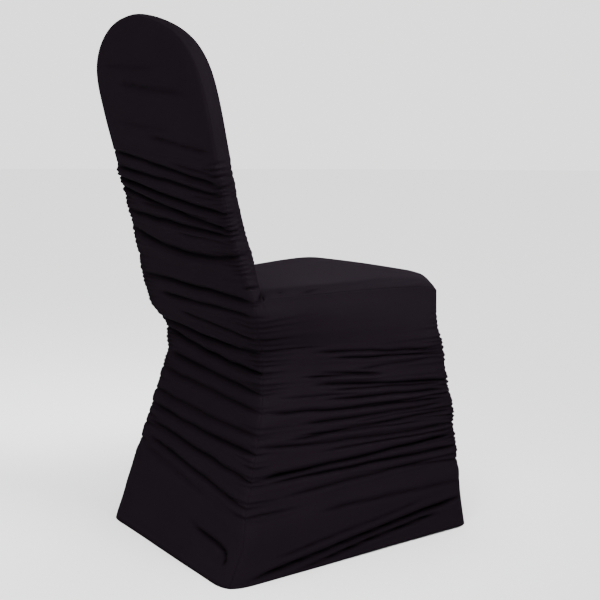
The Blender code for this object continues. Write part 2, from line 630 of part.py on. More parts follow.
def shape_panels():
    """The outer faces of all panels, as grids, with the direction that each grid faces."""
    heights, seat_row, seams = corner_seams()
    right, left = seams["rear_right"], seams["rear_left"]
    back = shape_back(heights, right, left)
    right_edge, left_edge, top_edge = shape_edges(back, right, left, seat_row)
    places = (np.array(BACK_COLUMNS) + 1) / 2
    inner = shape_inner(heights[seat_row:], places, right_edge, left_edge, top_edge)
    skirt = slice(0, seat_row + 1)
    side_right = shape_side(right[skirt], seams["front_right"], right_edge, -1, RIGHT_FOLDS)
    side_left = shape_side(left[skirt], seams["front_left"], left_edge, 1, LEFT_FOLDS)
    turn = slice(SIDE_TOP_TURN, -1)
    rear_edge = np.concatenate([right_edge[0, turn], inner[0], left_edge[0, turn][::-1]])
    share = (rear_edge[:, 0] - rear_edge[0, 0]) / (rear_edge[-1, 0] - rear_edge[0, 0])
    front = shape_front(seams["front_right"], seams["front_left"], share)
    right_line, left_line = side_right[-1, SIDE_TOP_TURN:], side_left[-1, SIDE_TOP_TURN:]
    seat = shape_seat(right_line, left_line, rear_edge, front[-1], share)
    edges = [(right_edge, (-1, 0, 0)), (left_edge, (1, 0, 0)), (top_edge, (0, 0, 1))]
    return {
        "back_panel": [(back, (0, 1, 0))],
        "inner_back": [(inner, (0, -1, 0)), *edges],
        "seat_panel": [(seat, (0, 0, 1))],
        "side_panel_right": [(side_right, (-1, 0, 0))],
        "side_panel_left": [(side_left, (1, 0, 0))],
        "front_panel": [(front, (0, -1, 0))],
    }


def build():
    """Clear the scene and add the six panels."""
    for old in list(bpy.data.objects):
        bpy.data.objects.remove(old, do_unlink=True)
    panels = {}
    for name, patches in shape_panels().items():
        points, quads = weld(patches)
        panels[name] = {
            "points": points,
            "quads": quads,
            "normals": vertex_normals(points, quads),
            "border": open_edges(quads),
        }
    inwards, shared = thickness_vectors(panels)
    for name, panel in panels.items():
        points, faces = sheet(panel, inwards, shared)
        add_object(name, points, faces)


build()
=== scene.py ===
# %% [markdown]
# # A ruched chair cover
# This cover is a black stretch knit in six panels, with a smooth seat and a high arched back. Four of the
# panels are gathered on their seams, so that the cloth lies in slanting folds. A cloth simulation could
# drape it, but its folds would fall where the solver puts them. Here each panel is a surface worked out on
# a fine grid, because every fold of the real cover has a place of its own. The frame holds the solid shape
# of each panel.

# %% Load the frame
from collections import namedtuple

import bpy
import numpy as np
from mathutils import Matrix, Vector


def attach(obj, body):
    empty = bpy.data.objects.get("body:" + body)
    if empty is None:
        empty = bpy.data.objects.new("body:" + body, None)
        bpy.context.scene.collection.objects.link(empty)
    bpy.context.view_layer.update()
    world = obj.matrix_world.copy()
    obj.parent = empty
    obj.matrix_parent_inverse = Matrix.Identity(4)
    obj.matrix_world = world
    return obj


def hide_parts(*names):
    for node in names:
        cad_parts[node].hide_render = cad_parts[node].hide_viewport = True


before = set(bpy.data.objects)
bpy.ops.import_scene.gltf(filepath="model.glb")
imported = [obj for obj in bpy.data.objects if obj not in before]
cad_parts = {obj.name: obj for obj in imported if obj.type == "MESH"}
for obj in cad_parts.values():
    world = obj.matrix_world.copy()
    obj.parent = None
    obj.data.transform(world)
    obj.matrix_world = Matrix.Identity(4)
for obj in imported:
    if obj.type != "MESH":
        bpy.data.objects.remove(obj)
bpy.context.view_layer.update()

# %% [markdown]
# ## Camera
# The cover is seen from behind its right rear corner, a little above the seat. A camera could be placed by
# eye, but then no seam would fall quite where it should, so this one's place and turn were fitted to the
# cover's corners. A camera looks along its own -Z axis: its turn is a matrix whose columns are its right,
# its up and the opposite of where it looks.

# %% Camera
CAMERA_PLACE = Vector((-1.6927, 1.1064, 0.7187))
CAMERA_LOOKS = Vector((0.81887, -0.55733, -0.13725))
CAMERA_UP = Vector((0.11517, -0.07471, 0.99053))
CAMERA_LENS = 64.865


def add_camera():
    """A camera at its place. Its right is where it looks crossed with its up."""
    data = bpy.data.cameras.new("camera")
    data.lens = CAMERA_LENS
    camera = bpy.data.objects.new("camera", data)
    bpy.context.scene.collection.objects.link(camera)
    looks = CAMERA_LOOKS.normalized()
    right = looks.cross(CAMERA_UP).normalized()
    turn = Matrix((right, right.cross(looks), -looks)).transposed()
    camera.matrix_world = Matrix.Translation(CAMERA_PLACE) @ turn.to_4x4()
    return camera


bpy.context.scene.camera = add_camera()
print("camera at", tuple(round(value, 3) for value in CAMERA_PLACE), "lens", CAMERA_LENS)

# %% [markdown]
# ## Floor and sky
# The cover stands in a pale studio without corners. A curved backdrop could be built, but it would look
# different from each side, and a wide disc under an even white sky looks the same all round. What the
# camera sees of the sky is brighter than the light that it gives, as in a lit studio.

# %% Floor and sky
FLOOR_RADIUS, FLOOR_POINTS, FLOOR_DROP = 40.0, 96, 0.0006
FLOOR_COLOUR, FLOOR_ROUGHNESS = (0.86, 0.86, 0.86, 1.0), 0.9
SKY_COLOUR, SKY_LIGHT, SKY_SEEN = (1.0, 1.0, 1.0, 1.0), 0.34, 2.0


def add_floor():
    """A flat disc a hair under the hem: cosine and sine of even angles, times the radius."""
    angles = np.linspace(0, 2 * np.pi, FLOOR_POINTS, endpoint=False)
    rim = np.stack([np.cos(angles), np.sin(angles), np.zeros_like(angles)], axis=1) * FLOOR_RADIUS
    mesh = bpy.data.meshes.new("floor")
    mesh.from_pydata((rim - [0, 0, FLOOR_DROP]).tolist(), [], [tuple(range(FLOOR_POINTS))])
    floor = bpy.data.objects.new("floor", mesh)
    bpy.context.scene.collection.objects.link(floor)
    paint = bpy.data.materials.new("floor")
    paint.use_nodes = True
    shader = paint.node_tree.nodes["Principled BSDF"]
    shader.inputs["Base Color"].default_value = FLOOR_COLOUR
    shader.inputs["Roughness"].default_value = FLOOR_ROUGHNESS
    mesh.materials.append(paint)


def add_sky():
    """An even world that is stronger for the camera's own rays than in the light it gives."""
    world = bpy.data.worlds.new("studio")
    world.use_nodes = True
    tree = world.node_tree
    sky = tree.nodes["Background"]
    sky.inputs["Color"].default_value = SKY_COLOUR
    rays = tree.nodes.new("ShaderNodeLightPath")
    strength = tree.nodes.new("ShaderNodeMapRange")
    strength.inputs["To Min"].default_value = SKY_LIGHT
    strength.inputs["To Max"].default_value = SKY_SEEN
    tree.links.new(rays.outputs["Is Camera Ray"], strength.inputs["Value"])
    tree.links.new(strength.outputs["Result"], sky.inputs["Strength"])
    bpy.context.scene.world = world


add_floor()
add_sky()
print("stage: floor of radius", FLOOR_RADIUS, "m and a sky")

# %% [markdown]
# ## Lights
# Black cloth shows its folds only by how much light falls into them. One lamp would do for a pale object,
# but here each side needs its own. A very soft sun overhead keeps the tops of the folds lighter than their
# undersides, a lamp with a narrowed beam lifts the skirt's right side, and a wide one evens out the rear.

# %% Lights
Light = namedtuple("Light", "name kind place aim size spread strength")
LIGHTS = (
    Light("overhead", "SUN", (-0.4, 0.2, 3.0), (0.0, 0.0, 0.5), 1.2, None, 6.0),
    Light("right_side", "AREA", (-1.15, -0.35, 1.75), (0.0, -0.1, 0.90), 1.0, 0.90, 11.0),
    Light("rear", "AREA", (-1.6, 2.0, 2.0), (0.0, 0.2, 0.40), 1.2, 3.14, 68.0),
)


def add_light(light):
    """A soft light that faces its aim. A sun's size is an angle, another light's is its side in metres."""
    data = bpy.data.lights.new(light.name, light.kind)
    data.energy = light.strength
    if light.kind == "SUN":
        data.angle = light.size
    else:
        data.size = light.size
        data.spread = light.spread
    lamp = bpy.data.objects.new(light.name, data)
    bpy.context.scene.collection.objects.link(lamp)
    lamp.location = light.place
    lamp.rotation_euler = (Vector(light.aim) - Vector(light.place)).to_track_quat("-Z", "Y").to_euler()


for light in LIGHTS:
    add_light(light)
print("lights:", [light.name for light in LIGHTS])

# %% [markdown]
# ## Reading a pattern
# A pattern maker notes a panel's width at a few heights and draws one smooth line through the marks. The
# tables here do the same. A spline could join their values, but it swings past them beside the narrow
# waist. A monotone cubic never leaves the range of two neighbours, so it reads every table.

# %% Reading a pattern
def thousandths(kind, *rows):
    """A table's rows by name. They are noted in millimetres, and shares and slopes in thousandths."""
    return tuple(kind(*(value / 1000 for value in row)) for row in rows)


def fade(value, start, end):
    """0 before the start, 1 past the end, and between them 3 times the square less twice the cube."""
    t = np.clip((value - start) / (end - start), 0, 1)
    return t * t * (3 - 2 * t)


def read_curve(knots, values, at):
    """A monotone cubic: each knot's slope is the harmonic mean of the rises on its two sides."""
    step = np.diff(knots)
    rise = np.diff(values) / step
    same_way = rise[:-1] * rise[1:] > 0
    product = np.where(same_way, rise[:-1] * rise[1:], 0.0)
    total = np.where(same_way, rise[:-1] + rise[1:], 1.0)
    slope = np.concatenate([rise[:1], 2 * product / total, rise[-1:]])
    at = np.clip(at, knots[0], knots[-1])
    low = np.clip(np.searchsorted(knots, at, side="right") - 1, 0, len(step) - 1)
    t = (at - knots[low]) / step[low]
    level = values[low] + (values[low + 1] - values[low]) * t * t * (3 - 2 * t)
    return level + step[low] * t * (1 - t) * (slope[low] * (1 - t) - slope[low + 1] * t)


def read_table(rows, column, height):
    """A table's column read at any height."""
    knots = np.array([row.height for row in rows])
    return read_curve(knots, np.array([getattr(row, column) for row in rows]), height)


print("a fade in five steps:", fade(np.linspace(0, 1, 5), 0, 1).round(3))

# %% [markdown]
# ## Where the corner seams lie
# Four long seams run up the cover's corners. The rear two lean with the backrest and are drawn in at a
# waist under the seat, and the front two go from the hem to the seat. They could be drawn as curve objects,
# but tables of half widths and depths keep both sides alike, and can be compared with the solid panels.

# %% Where the corner seams lie
SEAT_REAR, SEAT_FRONT = 0.472, 0.464
RUCHING_BOTTOM, RUCHING_TOP = 0.09, 0.70
SeamPoint = namedtuple("SeamPoint", "height half_width back")
REAR_SEAM = thousandths(
    SeamPoint,
    (0, 220, 243), (60, 222, 221), (120, 210, 204), (200, 199, 180), (280, 186, 159), (340, 173, 148),
    (380, 172, 149), (420, 191, 169), (460, 203, 180), (520, 194, 196), (600, 185, 218),
    (700, 188, 242), (790, 193, 264), (880, 193, 287), (940, 193, 300),
)
FRONT_SEAM = thousandths(
    SeamPoint,
    (0, 199, -299), (50, 200, -288), (90, 201, -280), (133, 203, -271), (173, 203, -265),
    (213, 202, -259), (250, 202, -257), (270, 202, -247), (311, 201, -239), (350, 201, -231),
    (389, 201, -220), (427, 199, -216), (464, 199, -215),
)
print("seam width at the waist:", round(2 * float(read_table(REAR_SEAM, "half_width", 0.36)), 4))

# %% [markdown]
# ## Arch of the crown
# The backrest ends in a flat arch with full shoulders. A half circle would be too pointed and a rounded
# rectangle too square. A superellipse lies between them, with one power for its flatness and one for its
# shoulders. The real crown hangs a little to one side, so a small lean is added.

# %% Arch of the crown
ARCH_SPRING, ARCH_TOP, ARCH_HALF_WIDTH = 0.79, 0.94, 0.193
ARCH_FLATNESS, ARCH_SHOULDER = 3.0, 1.62
CROWN_CORNER, CROWN_LEAN = 0.885, 0.0028


def arch_half_width(height):
    """Half the crown's width: the width times a superellipse of the height above the spring."""
    t = np.clip((height - ARCH_SPRING) / (ARCH_TOP - ARCH_SPRING), 0, 1)
    return ARCH_HALF_WIDTH * (1 - t ** ARCH_FLATNESS) ** (1 / ARCH_SHOULDER)


def arch_height(across):
    """The crown's height at a place across: the same superellipse solved for height, plus a lean."""
    t = np.clip(np.abs(across) / ARCH_HALF_WIDTH, 0, 1)
    lean = CROWN_LEAN * np.sin(np.pi * np.clip(across / arch_half_width(CROWN_CORNER), -1, 1))
    return ARCH_SPRING + (ARCH_TOP - ARCH_SPRING) * (1 - t ** ARCH_SHOULDER) ** (1 / ARCH_FLATNESS) + lean


print("crown's half width at its corner:", round(float(arch_half_width(CROWN_CORNER)), 4))

# %% [markdown]
# ## Uneven lines
# No fold on real cloth is straight or even. A noise texture could move the mesh, but no other part of the
# script could read it. So one small helper gives all of that unevenness: seeded random levels at even
# steps, joined by smooth steps. The seed makes every run the same.

# %% Uneven lines
def uneven(seed, at, steps):
    """A slow random line between -1 and 1, with a random level at each step as at runs from 0 to 1."""
    levels = np.random.default_rng(seed).uniform(-1, 1, steps + 2)
    place = np.clip(at, 0, 1) * steps
    low = np.floor(place).astype(int)
    return levels[low] + (levels[low + 1] - levels[low]) * fade(place - low, 0, 1)


def uneven_field(seed, across, up, steps_across, steps_up):
    """The same in two directions: random levels on a grid, joined both ways by smooth steps."""
    levels = np.random.default_rng(seed).uniform(-1, 1, (steps_up + 2, steps_across + 2))
    x, y = np.clip(across, 0, 1) * steps_across, np.clip(up, 0, 1) * steps_up
    left, low = np.floor(x).astype(int), np.floor(y).astype(int)
    s, t = fade(x - left, 0, 1), fade(y - low, 0, 1)
    bottom = levels[low, left] * (1 - s) + levels[low, left + 1] * s
    top = levels[low + 1, left] * (1 - s) + levels[low + 1, left + 1] * s
    return bottom * (1 - t) + top * t


print("uneven line:", np.round(uneven(1, np.linspace(0, 1, 5), 4), 2))

# %% [markdown]
# ## How one fold is shaped
# A fold is a soft trough between two ridges, with a narrower crease in it, because cloth that is pushed
# together bends most sharply at the bottom. It could be sculpted with a brush, but as a function of the
# distance from a line it can be moved and deepened by one number. The fold dies out where it starts and
# ends. Its crease is kept as a mask too, a little wider, for the shade painted into the colour inside it.

# %% How one fold is shaped
Fold = namedtuple("Fold", "height_0 height_1 sag depth width starts ends")
FOLD_SCALE, FOLD_RIDGES, FOLD_NARROW = 1.16, 0.90, 0.86
FOLD_FADE, FOLD_TIP, FOLD_TIP_WIDTH, FOLD_SEAM_FADE = 0.09, 0.05, 0.6, 0.014
CREASE_SHARE, CREASE_WIDTH, CREASE_ROUND = 0.46, 0.28, 0.13
CREASE_SPREAD, CREASE_FULL_DEPTH = 0.66, 0.005
FOLD_WANDER, WANDER_STEPS = 0.0011, 9
DEPTH_VARIES, DEPTH_STEPS, DEPTH_SEED = 0.16, 6, 50
HEM_CALM = 0.018


def trough(distance):
    """A trough's depth at a distance in its own widths: a broad bell that dips below 0 as ridges, and
    an exponential crease with a rounded bottom. The painted shade's mask is the crease to a power under 1."""
    broad = (1 - FOLD_RIDGES * distance ** 2) * np.exp(-distance ** 2 / 2)
    sharp = np.exp((CREASE_ROUND - np.sqrt(distance ** 2 + CREASE_ROUND ** 2)) / CREASE_WIDTH)
    return (1 - CREASE_SHARE) * broad + CREASE_SHARE * sharp, sharp ** CREASE_SPREAD


def fold_strength(fold, places, seed):
    """How strong a fold is across the panel: 1 between faded ends, times an uneven line about 1."""
    along = fade(places, fold.starts - FOLD_TIP, fold.starts + FOLD_FADE)
    along = along * (1 - fade(places, fold.ends - FOLD_FADE, fold.ends + FOLD_TIP))
    return along * (1 + DEPTH_VARIES * uneven(seed, places, DEPTH_STEPS))


def fold_cloth(folds, heights, places, seed, painted_darkness=1.0):
    """How far the folds move the cloth, and a mask of painted shade in their creases, summed fold by fold
    over whole arrays. A fold's line is a straight mix of its two end heights, plus its sag as a parabola."""
    moved, creased = np.zeros(heights.shape), np.zeros(heights.shape)
    for number, fold in enumerate(folds):
        line = fold.height_0 + (fold.height_1 - fold.height_0) * places
        line = line + fold.sag * 4 * places * (1 - places)
        line = line + FOLD_WANDER * uneven(seed + number, places, WANDER_STEPS)
        along = fold_strength(fold, places, seed + DEPTH_SEED + number)
        width = FOLD_TIP_WIDTH + (1 - FOLD_TIP_WIDTH) * np.clip(along, 0, 1)
        depth, crease = trough((heights - line) / (FOLD_NARROW * fold.width * width))
        moved = moved - FOLD_SCALE * fold.depth * along * depth
        creased = np.maximum(creased, crease * along * np.clip(fold.depth / CREASE_FULL_DEPTH, 0, 1))
    calm = fade(np.minimum(places, 1 - places), 0, FOLD_SEAM_FADE) * fade(heights, 0, HEM_CALM)
    return moved * calm, np.minimum(1, painted_darkness * creased) * calm


print("a trough at 0, 1 and 2 widths:", trough(np.arange(3.0))[0].round(2))

# %% [markdown]
# ## Folds of the back and the right side
# Random folds would look alike on every cover, but the folds of these two panels have places that the eye
# remembers. So each was placed one by one, as a row of a table: its heights on the two seams, its sag, its
# depth and width, and where across the panel it starts and ends.

# %% Folds of the back and the right side
BACK_FOLDS = thousandths(
    Fold,
    (842, 870, 0, 1.2, 8, 360, 860), (802, 848, 0, 2.3, 8, 140, 720), (739, 778, 0, 1.2, 7, 340, 800),
    (713, 771, 0, 2.8, 6.4, 40, 520), (676, 740, 0, 2.2, 5.2, 0, 360), (660, 718, 4, 4.6, 6.8, 10, 970),
    (645, 690, 2, 5, 6.4, 0, 970), (638, 664, 0, 2.2, 4.2, 0, 240), (615, 669, 0, 5.4, 7, 0, 990),
    (588, 651, 0, 5.6, 7.4, 0, 1000), (579, 609, 0, 5.2, 8.4, 20, 960),
    (603, 632, 0, 2.4, 4.2, 100, 800), (566, 594, 0, 2.4, 4.6, 0, 460),
    (548, 578, -20, 5.8, 10.4, 0, 970), (550, 560, 0, 2, 4, 0, 220), (470, 486, 3, 5, 8.6, 10, 960),
    (446, 455, 0, 4.2, 7.2, 20, 820), (401, 437, 0, 3.6, 6.6, 0, 660), (377, 399, -8, 5.8, 7.6, 0, 970),
    (341, 379, -8, 6.8, 8.2, 0, 960), (318, 336, -2, 2, 4, 0, 220), (308, 334, -3, 4.8, 7.8, 0, 940),
    (278, 298, 0, 4.2, 7.6, 0, 960), (241, 255, -4, 4.4, 7.8, 0, 980), (211, 228, -5, 5.8, 7.8, 0, 960),
    (198, 216, 0, 2.2, 4, 0, 150), (167, 196, 0, 5.5, 7.6, 0, 930), (126, 171, 0, 5.3, 7.6, 20, 900),
    (100, 150, 0, 2, 8, 300, 920),
)
RIGHT_FOLDS = thousandths(
    Fold,
    (384, 381, 0, 1.6, 3.4, 0, 300), (378, 354, 0, 3.4, 5.2, 270, 1000),
    (366, 345, 0, 3.6, 4.8, 360, 1000), (327, 340, 0, 2.2, 4.6, 480, 1000),
    (346, 305, 0, 3.2, 4.4, 280, 600), (321, 293, 0, 4.6, 5.6, 260, 1000),
    (308, 289, 0, 3.8, 4.4, 340, 960), (292, 276, 0, 3.8, 5, 320, 960),
    (278, 261, -4, 4.2, 5.6, 30, 940), (334, 312, 0, 3.4, 3.6, 200, 620),
    (300, 283, 0, 2.4, 3.6, 100, 480), (268, 268, 0, 2.6, 3.6, 420, 1000),
    (241, 243, 0, 2.4, 3.6, 460, 1000), (238, 222, -3, 2.6, 3.8, 200, 820),
    (200, 197, 0, 2.6, 3.8, 320, 1000), (253, 252, -4, 3.2, 5.6, 200, 940),
    (225, 235, 2, 3.4, 5.6, 150, 1000), (223, 208, -5, 3, 5.4, 0, 970), (170, 186, 0, 5, 6.4, 30, 980),
    (162, 164, 0, 4.2, 6, 80, 1000), (131, 148, 2, 3, 6.4, 160, 840), (113, 104, 0, 1.8, 4.2, 0, 220),
    (96, 94, 2, 2.4, 6.8, 330, 1000), (26, 82, 2, 2.4, 5.2, 160, 800), (6, 61, 2, 6, 7, 50, 980),
    (-12, 46, 4, 5, 6, 180, 860),
)
print("folds:", len(BACK_FOLDS), "on the back,", len(RIGHT_FOLDS), "on the right side")

# %% [markdown]
# ## Folds of the other panels
# The left side, the front and the inner back are ruched in the same manner. Mirroring the right side would
# be quicker, but a fold never has a twin on real cloth, so they have rows of their own.

# %% Folds of the other panels
LEFT_FOLDS = thousandths(
    Fold,
    (402, 378, 0, 3.2, 5.8, 100, 1000), (384, 366, 0, 1.8, 4.2, 0, 300),
    (362, 344, -3, 4.2, 6.4, 200, 1000), (335, 318, 0, 2.6, 5.6, 0, 700),
    (322, 306, 0, 2.4, 4.6, 450, 1000), (306, 290, -4, 4.4, 6.6, 250, 1000),
    (268, 259, 0, 3.4, 6, 50, 950), (252, 247, 0, 2.2, 4.4, 0, 380),
    (236, 241, -5, 3.4, 6.2, 300, 1000), (214, 199, 0, 4.6, 6.4, 0, 920),
    (166, 176, 3, 4.2, 6.8, 120, 1000), (132, 139, 0, 3, 6.6, 0, 750), (24, 78, 2, 4.2, 7.4, 80, 950),
)
FRONT_FOLDS = thousandths(
    Fold,
    (402, 396, -14, 2.6, 6, 0, 420), (388, 392, -12, 1.8, 4.6, 660, 1000),
    (372, 378, -12, 3.6, 6.6, 0, 1000), (338, 346, -14, 3, 6, 380, 1000),
    (316, 304, -12, 4.4, 7, 0, 1000), (294, 286, -12, 2.2, 4.6, 550, 1000),
    (272, 280, -14, 3.6, 6.6, 0, 720), (240, 246, -10, 4.2, 7, 120, 1000),
    (202, 208, -12, 3.6, 6.8, 0, 800), (170, 162, -8, 4.2, 7.2, 0, 1000),
    (126, 132, -6, 3, 7, 300, 1000),
)
INNER_FOLDS = thousandths(
    Fold,
    (678, 700, -12, 2.6, 6.2, 0, 400), (652, 668, -14, 3.4, 6.8, 450, 1000),
    (624, 636, -14, 3.6, 6.8, 0, 550), (604, 618, -12, 2.2, 5, 600, 1000),
    (590, 604, -12, 3.4, 6.8, 350, 1000), (562, 566, -10, 3.6, 7, 0, 600),
    (524, 532, -6, 3, 7, 500, 1000),
)
print("folds:", len(LEFT_FOLDS), "left,", len(FRONT_FOLDS), "front,", len(INNER_FOLDS), "inner")

# %% [markdown]
# ## Fine gathers beside the seams
# Where a seam draws the cloth up, short fine creases run out from it. A bump texture could hint at them,
# but they break the outline, so they are in the mesh. Each is a narrow trough, deepest at the seam, that
# dies out as a bell, and a calmer strip lies right beside the stitches.

# %% Fine gathers beside the seams
Gather = namedtuple("Gather", "height depth reach slope")
# The last of these: a gather this deep gets the full painted shade in its crease.
GATHER_WIDTH, GATHER_RIDGES, GATHER_FULL_SHADE_DEPTH = 0.0021, 0.5, 0.0050
SEAM_CALM, SEAM_CALM_RUN = 0.35, 0.005


def gather_cloth(distance, heights, name, strength=1.0):
    """How far a seam's gathers move the cloth at a distance from it, and the mask of painted shade in
    their creases.
    """
    moved, creased = np.zeros(heights.shape), np.zeros(heights.shape)
    for gather in SEAM_GATHERS[name]:
        across = (heights - gather.height - gather.slope * distance) / GATHER_WIDTH
        crease = np.exp(-((distance / gather.reach) ** 2) - across ** 2 / 2)
        crease = crease * (1 - SEAM_CALM * np.exp(-distance / SEAM_CALM_RUN))
        moved = moved - strength * gather.depth * crease * (1 - GATHER_RIDGES * across ** 2)
        creased = np.maximum(creased, np.minimum(1, strength * crease * gather.depth / GATHER_FULL_SHADE_DEPTH))
    return moved, creased


def gather_both(places, width, heights, near, far, strength=1.0):
    """The gathers of both of a panel's seams, less what the seams themselves have moved already."""
    near_moved, near_painted_shading = gather_cloth(places * width, heights, near, strength)
    far_moved, far_painted_shading = gather_cloth((1 - places) * width, heights, far, strength)
    by_seams = near_moved[:, :1] * (1 - places) + far_moved[:, -1:] * places
    return near_moved + far_moved - by_seams, np.maximum(near_painted_shading, far_painted_shading)


print("a gather is about", round(4 * GATHER_WIDTH * 1000), "mm wide")

# %% [markdown]
# ## Where the gathers are
# Both panels of a seam crease at the same heights, because one thread draws them up. The gathers that show
# best, at the near rear seam beside the seat, were listed one by one. The others are too many, so each seam
# draws its own at random from a seed. The back's main folds go on round its two seams as gathers too.

# %% Where the gathers are
GATHER_DEEP, GATHER_SLOPE = (0.0009, 0.0023), 0.06
NEAR_END, FAR_END = 0.03, 0.95
FOLD_END_SHARE, FOLD_END_REACH = 0.34, 0.022
CLOSE, SPARSE, WIDE = (0.0060, 0.0105), (0.013, 0.034), (0.009, 0.018)
SHORT, MEDIUM, LONG = (0.012, 0.036), (0.016, 0.060), (0.070, 0.240)
NEAR_SEAM_GATHERS = thousandths(
    Gather,
    (495, 3.4, 10, 0), (435, 1.4, 90, 60), (426, 1.6, 75, 50), (417, 1.4, 60, 30), (405, 2.6, 60, 20),
    (394, 1.5, 45, 0), (382, 2.8, 50, 0), (372, 2, 44, 0), (363, 2, 40, -20), (355, 1.8, 40, 20),
    (344, 2.2, 44, -30), (334, 1.2, 30, 0), (323, 2, 46, -30), (314, 2, 42, 0), (306, 1.4, 34, 30),
)


def draw_gathers(seed, bottom, top, spacing, reach):
    """A seam's gathers from bottom to top: their heights, depths, reaches and slopes are random."""
    random = np.random.default_rng(seed)
    heights = bottom + np.cumsum(random.uniform(*spacing, int((top - bottom) / spacing[0]) + 1))
    ranges = (GATHER_DEEP, reach, (-GATHER_SLOPE, GATHER_SLOPE))
    return tuple(
        Gather(height, *(random.uniform(*limits) for limits in ranges)) for height in heights[heights < top]
    )


def fold_ends(folds, end):
    """The folds that run into a seam, at their near end 0 or far end 1, as gathers that go round it."""
    reached = [fold for fold in folds if (fold.ends > FAR_END if end else fold.starts < NEAR_END)]
    return tuple(
        Gather(fold.height_1 if end else fold.height_0, FOLD_END_SHARE * fold.depth, FOLD_END_REACH, 0)
        for fold in reached
    )


SEAM_GATHERS = {
    "rear_right": fold_ends(BACK_FOLDS, 0) + draw_gathers(11, 0.095, 0.298, SPARSE, MEDIUM)
    + NEAR_SEAM_GATHERS + draw_gathers(16, 0.440, 0.480, SPARSE, SHORT)
    + draw_gathers(12, 0.500, RUCHING_TOP, CLOSE, MEDIUM),
    "rear_left": fold_ends(BACK_FOLDS, 1) + draw_gathers(13, 0.095, 0.290, SPARSE, MEDIUM)
    + draw_gathers(17, 0.290, RUCHING_TOP, CLOSE, MEDIUM),
    "front_right": draw_gathers(14, 0.120, 0.385, WIDE, LONG)
    + draw_gathers(18, 0.150, 0.420, CLOSE, SHORT),
    "front_left": draw_gathers(15, 0.120, 0.385, WIDE, LONG)
    + draw_gathers(19, 0.150, 0.420, CLOSE, SHORT),
}
print("gathers:", {name: len(table) for name, table in SEAM_GATHERS.items()})

# %% [markdown]
# ## Rows of cloth
# The folds slant across each panel because the cloth was drawn up more on one seam than on the other. Level
# rows would cut across them and make them jagged. So the grid's rows are rows of cloth: each starts at its
# height on one seam and ends higher or lower on the next, as the slants' tables say.

# %% Rows of cloth
ROWS_HEM, ROWS_SKIRT, ROWS_BACKREST, ROWS_CROWN = 26, 240, 142, 50
TURN_STEPS, TURN_SHARE = 9, 0.068
BACK_COLUMNS, SIDE_COLUMNS = 83, 84
BACK_PLACES = np.linspace(0, 1, BACK_COLUMNS)
SIDE_PLACES = np.concatenate([
    np.linspace(0, TURN_SHARE, TURN_STEPS + 1)[:-1], np.linspace(TURN_SHARE, 1, SIDE_COLUMNS)
])
Slant = namedtuple("Slant", "height rise")
BACK_SLANT = thousandths(
    Slant,
    (0, 0), (60, 28), (120, 45), (180, 25), (240, 13), (300, 20), (345, 30), (400, 20), (472, 0),
    (530, 30), (600, 50), (660, 48), (740, 18), (800, 0), (885, 0),
)
SIDE_SLANT = thousandths(
    Slant,
    (0, 0), (30, 18), (80, 18), (150, 12), (220, 0), (300, -18), (370, -22), (430, -14), (472, -8),
)


def row_heights():
    """The height of each row of cloth at the right rear seam, and the row at which the seat starts."""
    hem = np.linspace(0, RUCHING_BOTTOM, ROWS_HEM + 1)
    skirt = np.linspace(RUCHING_BOTTOM, SEAT_REAR, ROWS_SKIRT + 1)[1:]
    backrest = np.linspace(SEAT_REAR, RUCHING_TOP, ROWS_BACKREST + 1)[1:]
    crown = np.linspace(RUCHING_TOP, CROWN_CORNER, ROWS_CROWN + 1)[1:]
    return np.concatenate([hem, skirt, backrest, crown]), ROWS_HEM + ROWS_SKIRT


ROW_HEIGHTS, SEAT_ROW = row_heights()
SKIRT = slice(0, SEAT_ROW + 1)
print("rows of cloth:", len(ROW_HEIGHTS), "of which the skirt has", SEAT_ROW)

# %% [markdown]
# ## Corner seams
# A gathered seam is a little wavy: it bulges at the top of its ruching, and small puckers stand between the
# gathers. Panels could be built apart and pushed together, but a slit would show. Instead they take the
# same points on their shared seam, so they touch exactly, as sewn cloth does.

# %% Corner seams
WAVE_DEPTH, WAVE_LONG, WAVE_SHORT, WAVE_SHORT_SHARE = 0.0009, 0.062, 0.037, 0.6
WAVE_FADE, WAVE_STOP, SEAM_OUT = 0.04, 0.014, 0.0020
WAVE_STARTS = {"rear_right": 0.4, "rear_left": 2.1, "front_right": 3.6, "front_left": 5.2}
PUCKER_SKIRT, PUCKER_BACKREST, PUCKER_PITCH = 0.0004, 0.0010, 0.0085
RUCHING_BULGE, BULGE_UNDER, BULGE_REACH = 0.0018, 0.022, 0.016
FRONT_GATHERS_TOP = 0.394


def seam_waves(height, top, name):
    """How far a gathered seam stands out: a long and a short sine along it, random puckers, and a bell
    under the top of its ruching."""
    start = WAVE_STARTS[name]
    waves = np.sin(2 * np.pi * height / WAVE_LONG + start)
    waves = waves + WAVE_SHORT_SHARE * np.sin(2 * np.pi * height / WAVE_SHORT + 2 * start)
    puckers = uneven(int(start * 10), height / ARCH_TOP, int(ARCH_TOP / PUCKER_PITCH * 2))
    gathered = fade(height, RUCHING_BOTTOM - WAVE_FADE, RUCHING_BOTTOM + WAVE_FADE)
    gathered = gathered * (1 - fade(height, top - WAVE_STOP, top))
    bulge = RUCHING_BULGE * np.exp(-(((height - top + BULGE_UNDER) / BULGE_REACH) ** 2))
    depth = PUCKER_SKIRT + (PUCKER_BACKREST - PUCKER_SKIRT) * fade(height, SEAT_REAR, SEAT_REAR + WAVE_FADE)
    return gathered * (SEAM_OUT + WAVE_DEPTH * waves + depth * puckers + bulge)


